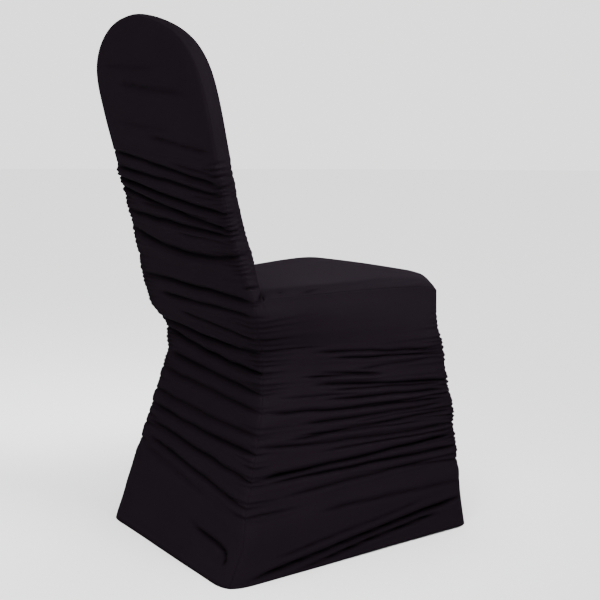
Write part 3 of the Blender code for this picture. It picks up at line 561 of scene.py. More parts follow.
def seam_line(table, heights, name, top, gathered):
    """A corner seam's points: its table read at the heights, mirrored to its side, moved out by its
    waves and gathers, as far sideways as backwards."""
    side = -1 if name.endswith("right") else 1
    outward = 1 if table is REAR_SEAM else -1
    half = read_table(table, "half_width", heights)
    if table is REAR_SEAM:
        half = np.where(heights > ARCH_SPRING, arch_half_width(heights), half)
    bump = seam_waves(heights, top, name) / np.sqrt(2) + gather_cloth(0.0, heights, name)[0]
    back = read_table(table, "back", heights) + outward * gathered * bump
    return np.stack([side * (half + gathered * bump), back, heights], axis=1)


def corner_seams(gathered):
    """The four corner seams. With gathered at 0 they are smooth, and normals are taken from them."""
    skirt, slant = ROW_HEIGHTS[SKIRT], read_table(BACK_SLANT, "rise", ROW_HEIGHTS)
    front_right = skirt + read_table(SIDE_SLANT, "rise", skirt)
    front_left = skirt + slant[SKIRT] / 2
    front_left = front_left * SEAT_FRONT / front_left[-1]
    return {
        "rear_right": seam_line(REAR_SEAM, ROW_HEIGHTS, "rear_right", RUCHING_TOP, gathered),
        "rear_left": seam_line(REAR_SEAM, ROW_HEIGHTS + slant, "rear_left", RUCHING_TOP, gathered),
        "front_right": seam_line(FRONT_SEAM, front_right, "front_right", FRONT_GATHERS_TOP, gathered),
        "front_left": seam_line(FRONT_SEAM, front_left, "front_left", FRONT_GATHERS_TOP, gathered),
    }


SEAMS, SMOOTH_SEAMS = corner_seams(1.0), corner_seams(0.0)
print("seams:", {name: len(points) for name, points in SEAMS.items()}, "points")

# %% [markdown]
# ## Rolls, hem and slack
# Stitches pull the cloth in, so it rises from a seam in a small step and then rolls out. The hem is a
# turned-up band with a stitch line pressed in at its top. A bevel could round the seams, but their roll
# changes from hem to crown, so a table gives it at every height. Between the folds the cloth isn't
# perfectly tight, and a slow uneven field moves it a little.

# %% Rolls, hem and slack
Roll = namedtuple("Roll", "height out width belly")
BACK_ROLL = thousandths(
    Roll,
    (0, 11, 40, 0), (80, 6, 30, 1), (200, 4, 20, 1), (360, 3, 18, -2), (460, 4, 20, 2), (600, 4, 18, 5),
    (800, 4, 18, 7), (940, 3, 18, 3),
)
SIDE_ROLL = thousandths(
    Roll,
    (0, 10, 40, 0), (80, 6, 30, 1), (200, 4, 22, 0), (360, 4, 22, 2), (472, 3, 22, 2),
)
FRONT_ROLL = thousandths(Roll, (0, 6, 30, 3), (200, 4, 22, 2), (472, 4, 24, 3))
ROLL_POWER, SEAM_STEP, SEAM_STEP_WIDTH = 2.6, 0.0003, 0.0028
HEM_HEIGHT, HEM_THICK, HEM_EDGE = 0.020, 0.0005, 0.0025
STITCH_DEPTH, STITCH_WIDTH, STITCH_UNDER = 0.0004, 0.0012, 0.003
SLACK, SLACK_FINE_SHARE = 0.0007, 0.5
SLACK_STEPS, SLACK_FINE_STEPS = (4, 12), (9, 26)


def roll_out(table, heights, places, width):
    """How far a panel stands out: a roll beside each seam, a belly, and a step at each seam."""
    out = read_table(table, "out", heights)
    reach = read_table(table, "width", heights)
    belly = read_table(table, "belly", heights)
    edge = np.minimum(places, 1 - places) * width
    roll = 1 - (1 - np.clip(edge / reach, 0, 1)) ** ROLL_POWER
    step = SEAM_STEP * (1 - np.exp(-((edge / SEAM_STEP_WIDTH) ** 2)))
    return out * roll + belly * 4 * places * (1 - places) + step


def hem_out(heights):
    """How far the hem's band stands out: its thickness, less a narrow bell at the stitch line."""
    band = HEM_THICK * (1 - fade(heights, HEM_HEIGHT, HEM_HEIGHT + HEM_EDGE))
    return band - STITCH_DEPTH * np.exp(-(((heights - HEM_HEIGHT + STITCH_UNDER) / STITCH_WIDTH) ** 2))


def slack(seed, places, heights):
    """The slow unevenness of the cloth: two uneven fields, one wide and one about half as wide."""
    up = heights / ARCH_TOP
    fine = uneven_field(seed + 1, places, up, *SLACK_FINE_STEPS)
    return SLACK * (uneven_field(seed, places, up, *SLACK_STEPS) + SLACK_FINE_SHARE * fine)


print("hem", HEM_HEIGHT * 1000, "mm high, slack", SLACK * 1000, "mm")

# %% [markdown]
# ## Dressing a panel
# Each panel starts as a smooth surface between two seams, and everything else moves its points along its
# normals. The normals could be taken after each step, but then every fold would tilt the next one. They are
# taken once, from the smooth seams, so that the parts simply add up.

# %% Dressing a panel
SEAM_STILL = 0.02
Seeds = namedtuple("Seeds", "folds slack")
SEEDS = {
    "back": Seeds(100, 300),
    "inner": Seeds(400, 440),
    "right": Seeds(500, 640),
    "left": Seeds(700, 840),
    "front": Seeds(900, 960),
}


def unit(vectors):
    """Vectors brought to length 1."""
    return vectors / np.linalg.norm(vectors, axis=-1, keepdims=True)


def between(start, end, places):
    """Rows of points, a column for each place: a straight mix of each start with its end."""
    places = np.asarray(places)[None, :, None]
    return start[:, None, :] * (1 - places) + end[:, None, :] * places


def grid_normals(grid, outward):
    """Unit normals of a grid: the cross product of its two directions, turned to the outward side."""
    normals = unit(np.cross(np.gradient(grid, axis=1), np.gradient(grid, axis=0)))
    return normals if (normals * np.asarray(outward)).sum(axis=-1).mean() > 0 else -normals


def dress(rolls, folds, seams, grid, column_places, width, seeds, painted_darkness=1.0):
    """What moves a panel's points out: its roll, its folds with its gathers, its hem with its slack,
    which is still beside the seams, and the mask of painted shade in all its creases."""
    heights = grid[:, :, 2]
    places = np.broadcast_to(column_places, heights.shape)
    folded, creased = fold_cloth(folds, heights, places, seeds.folds, painted_darkness)
    gathered, fine_painted_shading = gather_both(places, width, heights, *seams)
    still = fade(places * (1 - places), 0, SEAM_STILL)
    loose = (hem_out(heights) + slack(seeds.slack, places, heights)) * still
    rolled = roll_out(rolls, heights, places, width)
    return rolled, folded + gathered, loose, np.maximum(creased, fine_painted_shading)


def on_floor(grid):
    """A grid with no point under the floor, and with its first row on it."""
    grid[:, :, 2] = np.maximum(grid[:, :, 2], 0)
    grid[0, :, 2] = 0
    return grid


print("a panel's width is shared out over", len(BACK_PLACES), "columns on the back")

# %% [markdown]
# ## Hooked crease
# At the near corner of the hem the cloth is pulled, and one crease runs in from the middle and hooks down.
# It doesn't follow the rows as the other folds do, so no table of folds can hold it. It is a trough again,
# but its distance is measured from a short path of straight pieces.

# %% Hooked crease
PathPoint = namedtuple("PathPoint", "across height")
HEM_HOOK = thousandths(
    PathPoint,
    (-40, 70), (-80, 61), (-114, 57), (-150, 55), (-177, 52), (-189, 47), (-194, 38), (-195, 24),
)
HOOK_DEPTH, HOOK_WIDTH = 0.0050, 0.0054
HOOK_STARTS, HOOK_ENDS = 0.3, 0.85


def path_distance(path, across, heights):
    """Every point's distance from a path, and how far along it, from 0 to 1, is its nearest point."""
    nearest, along = np.full(heights.shape, np.inf), np.zeros(heights.shape)
    for number, (start, end) in enumerate(zip(path[:-1], path[1:])):
        run = np.array([end.across - start.across, end.height - start.height])
        offset = np.stack([across - start.across, heights - start.height], axis=-1)
        t = np.clip(offset @ run / (run @ run), 0, 1)
        distance = np.linalg.norm(offset - t[..., None] * run, axis=-1)
        closer = distance < nearest
        nearest = np.where(closer, distance, nearest)
        along = np.where(closer, (number + t) / (len(path) - 1), along)
    return nearest, along


def crease_path(path, across, heights, depth, width):
    """A crease along a path: a trough that fades at both of the path's ends."""
    distance, along = path_distance(path, across, heights)
    deep, crease = trough(distance / width)
    shown = fade(along, 0.0, HOOK_STARTS) * (1 - fade(along, HOOK_ENDS, 1.0))
    return -depth * deep * shown, crease * shown


print("hooked crease: a path of", len(HEM_HOOK), "points")

# %% [markdown]
# ## Back panel
# One long piece of cloth covers the whole rear, from the arched crown to the hem. It could be cut from a
# plane by the arch's outline, but then its rows would end in steps. Here the rows run straight below, and
# lift above the ruching until the top row lies on the arch. The shade painted into the creases is stronger
# from the waist up, where the folds lie closer.

# %% Back panel
CROWN_CALM_POWER, CROWN_ROLL_SHARE, CROWN_STILL_ROWS = 3, 0.25, 5
# Strength of the shade painted into the creases: weaker on the skirt, stronger on the backrest.
SKIRT_PAINTED_SHADE, BACKREST_PAINTED_SHADE, DARKER_FROM, DARKER_TO = 0.5, 0.85, 0.25, 0.36


def rear_rows(seams):
    """The back panel's flat rows. Above the ruching they lift until the top row lies on the arch."""
    grid = between(seams["rear_right"], seams["rear_left"], BACK_PLACES)
    rise = arch_height(grid[-1, :, 0]) - CROWN_CORNER
    grid[:, :, 2] += fade(ROW_HEIGHTS, RUCHING_TOP, CROWN_CORNER)[:, None] * rise[None, :]
    lifted = read_table(REAR_SEAM, "back", grid[:, :, 2])
    grid[:, :, 1] = np.where(ROW_HEIGHTS[:, None] > RUCHING_TOP, lifted, grid[:, :, 1])
    return grid


def crown_share():
    """How much of the roll each row keeps: less towards the crown, and none on the arch's own seam."""
    crown, rows = fade(ROW_HEIGHTS, RUCHING_TOP, CROWN_CORNER), len(ROW_HEIGHTS)
    share = np.maximum(1 - crown ** CROWN_CALM_POWER, CROWN_ROLL_SHARE)
    return (share * (1 - fade(np.arange(rows), rows - CROWN_STILL_ROWS, rows - 1)))[:, None]


def shape_back():
    """The back panel's points and its mask of painted shade in the creases."""
    grid, share = rear_rows(SEAMS), crown_share()
    ends, wide = ("rear_right", "rear_left"), grid[:, -1:, 0] - grid[:, :1, 0]
    painted_darkness = SKIRT_PAINTED_SHADE + (BACKREST_PAINTED_SHADE - SKIRT_PAINTED_SHADE) * fade(grid[:, :, 2], DARKER_FROM, DARKER_TO)
    rolled, folded, loose, creased = dress(
        BACK_ROLL, BACK_FOLDS, ends, grid, BACK_PLACES, wide, SEEDS["back"], painted_darkness
    )
    # The hooked crease is pressed in, with shade painted along it.
    hook, hook_painted_shading = crease_path(HEM_HOOK, grid[:, :, 0], grid[:, :, 2], HOOK_DEPTH, HOOK_WIDTH)
    out = share * (rolled + loose) + folded + hook
    grid = grid + out[:, :, None] * grid_normals(rear_rows(SMOOTH_SEAMS), (0, 1, 0)) * np.array([0, 1, 1])
    return on_floor(grid), np.maximum(creased, hook_painted_shading)


BACK, BACK_PAINTED_SHADING = shape_back()
print("back panel:", BACK.shape[:2], "points, up to", BACK.max(axis=(0, 1)).round(3))

# %% [markdown]
# ## Puckers
# Where four pieces of cloth meet, and at the seat's corners, a short slanting dimple shows. It could be
# left to a texture, but it catches the light, so it is pressed into the mesh: a long narrow bell, turned
# about its middle. The same bell paints shade into the dimple's colour.

# %% Puckers
Pucker = namedtuple("Pucker", "across up turn length width depth")
FOOT_PUCKER = Pucker(0.169, 0.480, 0.785, 0.0110, 0.0036, 0.0036)
SEAT_PUCKERS = (
    Pucker(-0.176, 0.116, 0.9, 0.013, 0.0044, 0.0050),
    Pucker(0.178, 0.120, -0.9, 0.014, 0.0050, 0.0050),
    Pucker(-0.188, 0.060, 0.25, 0.024, 0.0040, 0.0028),
)


def pucker_mask(pucker, across, up):
    """A bell of the distances along and aside, on axes turned by the pucker."""
    x, y = across - pucker.across, up - pucker.up
    along = x * np.sin(pucker.turn) - y * np.cos(pucker.turn)
    aside = x * np.cos(pucker.turn) + y * np.sin(pucker.turn)
    return np.exp(-((along / pucker.length) ** 2) - (aside / pucker.width) ** 2)


print("puckers:", 1 + len(SEAT_PUCKERS))

# %% [markdown]
# ## Profile of the backrest's edge
# The inner panel wraps round the backrest's edge to the seam with the back panel. A swept tube would be
# round, but this edge is flat behind and turns in only at the front. So it is a profile of six points,
# forward of the seam and inside its outline, which is carried round the whole rim.

# %% Profile of the backrest's edge
EdgePoint = namedtuple("EdgePoint", "forward inset")
BACKREST_EDGE = thousandths(EdgePoint, (0, 0), (9, -1.5), (18, -0.5), (26, 4), (32, 12), (35, 24))
STEPS_A_POINT = TURN_STEPS // 3


def edge_profile():
    """The profile's forward and inset at even steps, as curves of the distance travelled along it."""
    forward, inset = np.array(BACKREST_EDGE).T
    travel = np.concatenate([[0], np.cumsum(np.hypot(np.diff(forward), np.diff(inset)))])
    points = np.arange((len(travel) - 1) * STEPS_A_POINT + 1) / STEPS_A_POINT
    steps = np.interp(points, np.arange(len(travel)), travel)
    return read_curve(travel, forward, steps), read_curve(travel, inset, steps)


def rim_of(back, seams):
    """The rim: up the right seam from the seat, over the crown and down the left seam."""
    right, left = seams["rear_right"][SEAT_ROW:], seams["rear_left"][SEAT_ROW:]
    return np.concatenate([right, back[-1, 1:-1], left[::-1]])


print("edge profile:", len(edge_profile()[0]), "steps")

# %% [markdown]
# ## Edge of the backrest
# The edge leans back as the backrest does, is shorter at its foot, and carries the ends of the gathers. Its
# directions could come from the gathered rim, but each pucker would twist it, so they come from the smooth
# rim. The mask also paints shade onto the edge over the crown, darker towards the top.

# %% Edge of the backrest
LEAN, LEAN_RUN, EDGE_START = 0.24, 0.060, 0.012
EDGE_GATHERS, EDGE_TRAVEL, EDGE_REACH_SHARE = 0.8, 0.050, 0.35
# The last of these is painted shade over the crown's edge.
FOOT_SHORT, FOOT_RUN, CROWN_PAINTED_SHADE = 0.22, 0.085, 0.46


def edge_directions(smooth, free):
    """Forward and inward at each rim point: forward leans, and inward is the rim crossed with forward.
    At the foot inward turns level, to meet the seat's seam."""
    nothing = np.zeros(len(smooth))
    lean = LEAN * fade(smooth[:, 2], SEAT_REAR, SEAT_REAR + LEAN_RUN)
    forward = unit(np.stack([nothing, nothing - 1, lean], axis=1))
    inward = unit(np.cross(np.gradient(smooth, axis=0), forward))
    if ((smooth.mean(axis=0) - smooth) * inward).sum() < 0:
        inward = -inward
    level = np.stack([-np.sign(smooth[:, 0]), nothing, nothing], axis=1)
    return forward, unit(level * (1 - free) + inward * free)


def edge_gathers(smooth, edge):
    """How far each rear seam's gathers move its own side of the edge, and the painted shade in their
    creases.
    """
    moved, creased = np.zeros(edge.shape[:2]), np.zeros(edge.shape[:2])
    travel = np.linspace(0, EDGE_TRAVEL, edge.shape[1])[None, :] * EDGE_REACH_SHARE
    for name, here in (("rear_right", smooth[:, 0] < 0), ("rear_left", smooth[:, 0] > 0)):
        deep, painted_darkness = gather_cloth(travel, edge[:, :, 2], name, EDGE_GATHERS)
        moved = moved + deep * here[:, None]
        creased = creased + painted_darkness * here[:, None]
    return moved, creased


def shape_edge():
    """The edge's points and its mask of painted shade: a row for each rim point, a column for each step."""
    smooth, rim = rim_of(rear_rows(SMOOTH_SEAMS), SMOOTH_SEAMS), rim_of(BACK, SEAMS)
    up = smooth[:, 2][:, None]
    free = fade(up, SEAT_REAR, SEAT_REAR + EDGE_START)
    forward, inward = edge_directions(smooth, free)
    ahead, inset = edge_profile()
    ahead = ahead * (1 - FOOT_SHORT * (1 - fade(up, SEAT_REAR, SEAT_REAR + FOOT_RUN)))
    edge = rim[:, None] + ahead[:, :, None] * forward[:, None] + inset[None, :, None] * inward[:, None]
    moved, creased = edge_gathers(smooth, edge)
    pucker = pucker_mask(FOOT_PUCKER, edge[:, :, 1], edge[:, :, 2])
    moved = free * (moved - FOOT_PUCKER.depth * pucker)
    # Painted shade over the crown's edge, stronger towards the top.
    shade = CROWN_PAINTED_SHADE * fade(up, ARCH_SPRING, ARCH_TOP)
    # The foot's pucker gets painted shade too.
    return edge - moved[:, :, None] * inward[:, None], np.maximum(np.maximum(free * creased, shade), pucker)


EDGE, EDGE_PAINTED_SHADING = shape_edge()
ROWS_UP = len(ROW_HEIGHTS) - SEAT_ROW
TOP = slice(ROWS_UP - 1, len(EDGE) - ROWS_UP + 1)
RIGHT_EDGE, LEFT_EDGE, TOP_EDGE = EDGE[:ROWS_UP], EDGE[::-1][:ROWS_UP], EDGE[TOP]
STRIPS = (
    (RIGHT_EDGE, (-1, 0, 0), EDGE_PAINTED_SHADING[:ROWS_UP]),
    (LEFT_EDGE, (1, 0, 0), EDGE_PAINTED_SHADING[::-1][:ROWS_UP]),
    (TOP_EDGE, (0, 0, 1), EDGE_PAINTED_SHADING[TOP]),
)
print("edge:", EDGE.shape[:2], "points")

# %% [markdown]
# ## Inner back
# The face towards the seat hangs between the edge strips. It could be a plane with a bulge, but its border
# would not meet the strips. So its rows start and end on them, and it is pillowed a little in the middle.
# It is folded only as far up as the side gathers reach.

# %% Inner back
INNER_PILLOW, INNER_PILLOW_POWER = 0.008, 0.6
INNER_WIDTH, INNER_GATHERS, INNER_STILL, INNER_BORDER = 0.34, 0.7, 0.05, 0.06


def shape_inner():
    """The inner face's points and its mask of painted crease shade: rows between the strips, raised by a
    parabola across times a power of a sine up."""
    heights = ROW_HEIGHTS[SEAT_ROW:]
    grid = between(RIGHT_EDGE[:, -1], LEFT_EDGE[:, -1], BACK_PLACES)
    blend = fade(heights, RUCHING_TOP, CROWN_CORNER)[:, None, None]
    grid = grid + blend * (TOP_EDGE[:, -1] - grid[-1])[None]
    places = np.broadcast_to(BACK_PLACES, grid.shape[:2])
    up = np.broadcast_to(np.linspace(0, 1, len(heights))[:, None], grid.shape[:2])
    border = fade(np.minimum(up, 1 - up), 0, INNER_BORDER)
    folded, creased = fold_cloth(INNER_FOLDS, grid[:, :, 2], places, SEEDS["inner"].folds)
    fine, fine_painted_shading = gather_both(
        places, INNER_WIDTH, grid[:, :, 2], "rear_right", "rear_left", INNER_GATHERS
    )
    loose = slack(SEEDS["inner"].slack, places, grid[:, :, 2]) * fade(places * (1 - places), 0, INNER_STILL)
    pillow = INNER_PILLOW * 4 * places * (1 - places) * np.sin(np.pi * up) ** INNER_PILLOW_POWER
    out = pillow + (folded + fine + loose) * border
    return grid + out[:, :, None] * np.array([0, -1, LEAN]), np.maximum(creased, fine_painted_shading) * border


INNER, INNER_PAINTED_SHADING = shape_inner()
print("inner back:", INNER.shape[:2], "points")

# %% [markdown]
# ## Skirt sides
# A side panel runs from the rear seam to the front seam. It could end level at the seat, but the real one
# follows the foot of the backrest's edge and then the seat's seam, in a low arch with a dip at the front
# corner. So its last rows are drawn up to such a line. Its hem lifts off the floor by a few millimetres.

# %% Skirt sides
SEAT_PULL_RUN, HEM_LIFT, HEM_LIFT_RUN = 0.048, 0.0026, 0.05
LIFT_FROM, LIFT_FULL, LIFT_ENDS = 0.25, 0.7, 0.93
SEAT_SEAM_ARCH, CORNER_DIP, CORNER_DIP_WIDTH = 0.003, 0.004, 0.06


def dip(distance):
    """1 at a corner of the seat's seam, and 0 where the seam has risen out of its dip."""
    return 1 - fade(distance, 0, CORNER_DIP_WIDTH)


def side_top(edge, corner, reach):
    """A side's top line: the edge's first steps, then straight to the corner with an arch and a dip."""
    share = (SIDE_PLACES[TURN_STEPS:] - TURN_SHARE) / (1 - TURN_SHARE)
    line = between(edge[:1, TURN_STEPS], corner[None], share)[0]
    arch = SEAT_SEAM_ARCH * np.sin(np.pi * share) - CORNER_DIP * dip((1 - share) * reach)
    line[1:-1, 2] = SEAT_REAR + arch[1:-1]
    return np.concatenate([edge[0, :TURN_STEPS], line])


def skirt_rows(ends, column_places, outward):
    """A skirt panel's flat rows between its two seams, and the unit normals of its smooth rows."""
    gathered, smooth = (
        between(seams[ends[0]][SKIRT], seams[ends[1]][SKIRT], column_places)
        for seams in (SEAMS, SMOOTH_SEAMS)
    )
    return gathered, grid_normals(smooth, outward)


def shape_side(name, edge, outward, folds):
    """A side's points and its mask of painted crease shade."""
    ends = ("rear_" + name, "front_" + name)
    grid, normals = skirt_rows(ends, SIDE_PLACES, (outward, 0, 0))
    heights, corner = grid[:, :, 2], grid[-1, -1]
    length = np.linalg.norm(grid[:, -1:] - grid[:, :1], axis=2)
    rolled, folded, loose, creased = dress(SIDE_ROLL, folds, ends, grid, SIDE_PLACES, length, SEEDS[name])
    grid = grid + (rolled + folded + loose)[:, :, None] * normals
    pull = fade(ROW_HEIGHTS[SKIRT], SEAT_REAR - SEAT_PULL_RUN, SEAT_REAR)[:, None, None]
    grid = on_floor(grid + pull * (side_top(edge, corner, length[-1]) - grid[-1])[None])
    lifted = HEM_LIFT * fade(SIDE_PLACES, LIFT_FROM, LIFT_FULL) * (1 - fade(SIDE_PLACES, LIFT_ENDS, 1.0))
    grid[:, :, 2] += lifted * (1 - fade(heights, 0, HEM_LIFT_RUN))
    return grid, creased


RIGHT, RIGHT_PAINTED_SHADING = shape_side("right", RIGHT_EDGE, -1, RIGHT_FOLDS)
LEFT, LEFT_PAINTED_SHADING = shape_side("left", LEFT_EDGE, 1, LEFT_FOLDS)
print("sides:", RIGHT.shape[:2], "points each")

# %% [markdown]
# ## Skirt front
# The front is made as a side is, and its folds calm down under the seat's seam. Its columns could be evenly
# spaced, but they stand where those of the seat's rear edge do, so that the seat can run straight from one
# to the other without a gap.

# %% Skirt front
FRONT_CALM_RUN = 0.012
TURN = slice(TURN_STEPS, -1)
REAR_EDGE = np.concatenate([RIGHT_EDGE[0, TURN], INNER[0], LEFT_EDGE[0, TURN][::-1]])
FRONT_PLACES = (REAR_EDGE[:, 0] - REAR_EDGE[0, 0]) / (REAR_EDGE[-1, 0] - REAR_EDGE[0, 0])


def shape_front():
    """The front's points and its mask of painted crease shade."""
    ends = ("front_right", "front_left")
    grid, normals = skirt_rows(ends, FRONT_PLACES, (0, -1, 0))
    heights, wide = grid[:, :, 2], grid[:, -1:, 0] - grid[:, :1, 0]
    rolled, folded, loose, creased = dress(
        FRONT_ROLL, FRONT_FOLDS, ends, grid, FRONT_PLACES, wide, SEEDS["front"]
    )
    out = rolled + (folded + loose) * (1 - fade(heights, SEAT_FRONT - FRONT_CALM_RUN, SEAT_FRONT))
    grid = on_floor(grid + out[:, :, None] * normals * np.array([0, 1, 1]))
    lifted = CORNER_DIP * (1 - dip(np.minimum(FRONT_PLACES, 1 - FRONT_PLACES) * wide[-1]))
    grid[:, :, 2] += fade(heights[:, :1], SEAT_FRONT - SEAT_PULL_RUN, SEAT_FRONT) * lifted
    return grid, creased


FRONT, FRONT_PAINTED_SHADING = shape_front()
print("front:", FRONT.shape[:2], "points")

# %% [markdown]
# ## Seat
# The seat is the one panel without gathers. It is stretched tight, so it rises from its seams round a soft
# edge and crowns in the middle, more towards the front. A simulation could stretch it, but a tight panel
# shows only this simple dome: a mix of its four seams, raised by its edge and its dome. The mask paints
# shade beside its seams, wider towards the rear, and goes below 0 towards the front, where it paints light.

# %% Seat
SEAT_EDGE_RISE, SEAT_EDGE_WIDTH, SEAT_EDGE_POWER, SEAT_EDGE_POWER_REAR = 0.022, 0.030, 2.4, 4.2
SEAT_REAR_STEEPER, SEAT_DOME = 2, 0.007
SEAT_REAR_SHARE, SEAT_FULL_FROM, SEAT_FULL_TO = 0.42, 0.40, 0.95
# Painted shade beside the seat's seams, wider towards the rear, and painted light towards its front.
SEAT_PAINTED_SHADE, SEAT_SHADE_WIDTH, SEAT_SHADE_PAST = 0.42, 0.092, 1.08
SHADE_FROM, SHADE_TO = 0.35, 0.90
SEAT_PAINTED_LIGHT, PAINTED_LIGHT_FROM, PAINTED_LIGHT_TO = 0.15, 0.4, 0.9
SEAT_SLACK_SEED, SEAT_SLACK_STEPS = 990, (4, 4)


def seat_edge(distance, power=SEAT_EDGE_POWER):
    """The seat's rounded edge: 0 on its seam, then level. A higher power rises faster."""
    return 1 - (1 - np.clip(distance / SEAT_EDGE_WIDTH, 0, 1)) ** power


def seat_rows():
    """The seat's flat grid, a mix of its four seams, how far forward each row is, and the seat's depth."""
    right, left = RIGHT[-1, TURN_STEPS:], LEFT[-1, TURN_STEPS:]
    down = (right[:, 1] - right[0, 1]) / (right[-1, 1] - right[0, 1])
    grid = between(right, left, FRONT_PLACES)
    grid = grid + (1 - down)[:, None, None] * (REAR_EDGE - grid[0])[None]
    grid = grid + down[:, None, None] * (FRONT[-1] - grid[-1])[None]
    return grid, down[:, None], np.linalg.norm(right[-1] - right[0])


def shape_seat():
    """The seat's points and its mask of painted shade and light: the flat grid raised by edge, dome
    and slack.
    """
    grid, down, deep = seat_rows()
    aside = np.minimum(FRONT_PLACES, 1 - FRONT_PLACES) * (grid[:, -1, 0] - grid[:, 0, 0])[:, None]
    full = fade(down, SEAT_FULL_FROM, SEAT_FULL_TO)
    across = seat_edge(aside, SEAT_EDGE_POWER_REAR + (SEAT_EDGE_POWER - SEAT_EDGE_POWER_REAR) * full)
    along = seat_edge((1 - down) * deep) * seat_edge(down * deep * SEAT_REAR_STEEPER)
    dome = 16 * FRONT_PLACES * (1 - FRONT_PLACES) * down * (1 - down)
    share = SEAT_REAR_SHARE + (1 - SEAT_REAR_SHARE) * full
    raised = share * (SEAT_EDGE_RISE * across * along + SEAT_DOME * dome)
    # Painted shade beside the seams, and painted light, a mask below 0, towards the front.
    reach = SEAT_SHADE_WIDTH * (SEAT_SHADE_PAST - down)
    creased = SEAT_PAINTED_SHADE * (1 - fade(aside / reach, SHADE_FROM, SHADE_TO))
    creased = creased - SEAT_PAINTED_LIGHT * fade(down, PAINTED_LIGHT_FROM, PAINTED_LIGHT_TO)
    # Each pucker is pressed in, and shade is painted into it.
    for pucker in SEAT_PUCKERS:
        mask = pucker_mask(pucker, grid[:, :, 0], grid[:, :, 1])
        raised = raised - pucker.depth * mask * across
        creased = np.maximum(creased, mask)
    places, up = np.broadcast_arrays(FRONT_PLACES[None, :], down)
    field = uneven_field(SEAT_SLACK_SEED, places, up, *SEAT_SLACK_STEPS)
    grid[:, :, 2] += raised + SLACK * field * across * along
    return grid, creased


SEAT, SEAT_PAINTED_SHADING = shape_seat()
print("seat:", SEAT.shape[:2], "points, up to", SEAT[:, :, 2].max().round(4))

# %% [markdown]
# ## From grids to faces
# A grid's faces are its neighbouring points taken four at a time. Blender's own grid tool makes only flat
# ones, so the quads are counted out by point numbers, and turned where they would face inwards. The inner
# back has four grids that share their borders, so points at the same place are joined.

# %% From grids to faces
SAME_PLACE_DECIMALS = 6
Patch = namedtuple("Patch", "grid outward flat creased")


def grid_faces(patch, first):
    """The patch's quads by point number, wound so that they face outwards."""
    rows, columns = patch.grid.shape[:2]
    number = first + np.arange(rows * columns).reshape(rows, columns)
    corners = (number[:-1, :-1], number[:-1, 1:], number[1:, 1:], number[1:, :-1])
    quads = np.stack(corners, axis=-1).reshape(-1, 4)
    start = patch.grid[:-1, :-1]
    facing = np.cross(patch.grid[:-1, 1:] - start, patch.grid[1:, :-1] - start).sum(axis=(0, 1))
    return quads if facing @ np.asarray(patch.outward) > 0 else quads[:, ::-1]


def join_patches(patches):
    """All patches' points, quads, flat places and masks of painted shade, with equal points made one."""
    firsts = np.cumsum([0] + [patch.grid.shape[0] * patch.grid.shape[1] for patch in patches])
    quads = np.concatenate([grid_faces(patch, first) for patch, first in zip(patches, firsts)])
    points = np.concatenate([patch.grid.reshape(-1, 3) for patch in patches])
    flat = np.concatenate([patch.flat.reshape(-1, 2) for patch in patches])
    creased = np.concatenate([patch.creased.ravel() for patch in patches])
    places = np.round(points, SAME_PLACE_DECIMALS)
    kept, joined = np.unique(places, axis=0, return_index=True, return_inverse=True)[1:]
    return points[kept], joined.reshape(-1)[quads], flat[kept], creased[kept]


def flat_place(grid, middle=0.0):
    """Where a grid lies on the flat cloth: across by its width, and up by its rows' mean spacing."""
    across = np.linalg.norm(np.diff(grid, axis=1), axis=2).mean(axis=0)
    up = np.linalg.norm(np.diff(grid, axis=0), axis=2).mean(axis=1)
    u = np.concatenate([[0], np.cumsum(across)]) + middle
    v = np.concatenate([[0], np.cumsum(up)])
    return np.stack(np.broadcast_arrays(u[None, :], v[:, None]), axis=-1)


print("back panel's flat width:", flat_place(BACK)[0, -1, 0].round(3), "m")

# %% [markdown]
# ## Six pieces of cloth
# Each panel becomes one object. Every point carries two more facts: where it lies on the flat cloth, in
# metres, which the knit follows as a UV map, and the mask of painted shade, kept as the attribute crease.
# The thickness could be a second grid, but Solidify gives it from the one sheet, towards the inside, and
# closes the rims.

# %% Six pieces of cloth
CLOTH_THICKNESS = 0.0012
STRIP_PLACE = 0.5


def add_cloth(name, patches):
    """A piece of cloth as an object: mesh, UV map, painted shade mask, smooth shading and thickness."""
    points, quads, flat, creased = join_patches(patches)
    mesh = bpy.data.meshes.new(name)
    mesh.from_pydata(points.tolist(), [], quads.tolist())
    mesh.uv_layers.new(name="cloth").data.foreach_set("uv", flat[quads.ravel()].astype(np.float32).ravel())
    # The attribute crease holds painted shade, and painted light where it is below 0.
    mask = mesh.attributes.new("crease", "FLOAT", "POINT")
    mask.data.foreach_set("value", creased.astype(np.float32))
    mesh.shade_smooth()
    piece = bpy.data.objects.new(name, mesh)
    bpy.context.scene.collection.objects.link(piece)
    thick = piece.modifiers.new("thickness", "SOLIDIFY")
    thick.thickness = CLOTH_THICKNESS
    thick.offset = -1
    print(name, len(points), "points,", len(quads), "quads")
    return piece


def one_patch(grid, outward, creased):
    """A panel that is a single grid."""
    return [Patch(grid, outward, flat_place(grid), creased)]


def inner_patches():
    """The inner back: its face and the three strips of its edge."""
    face = one_patch(INNER, (0, -1, 0), INNER_PAINTED_SHADING)
    return face + [
        Patch(grid, outward, flat_place(grid, STRIP_PLACE), creased) for grid, outward, creased in STRIPS
    ]


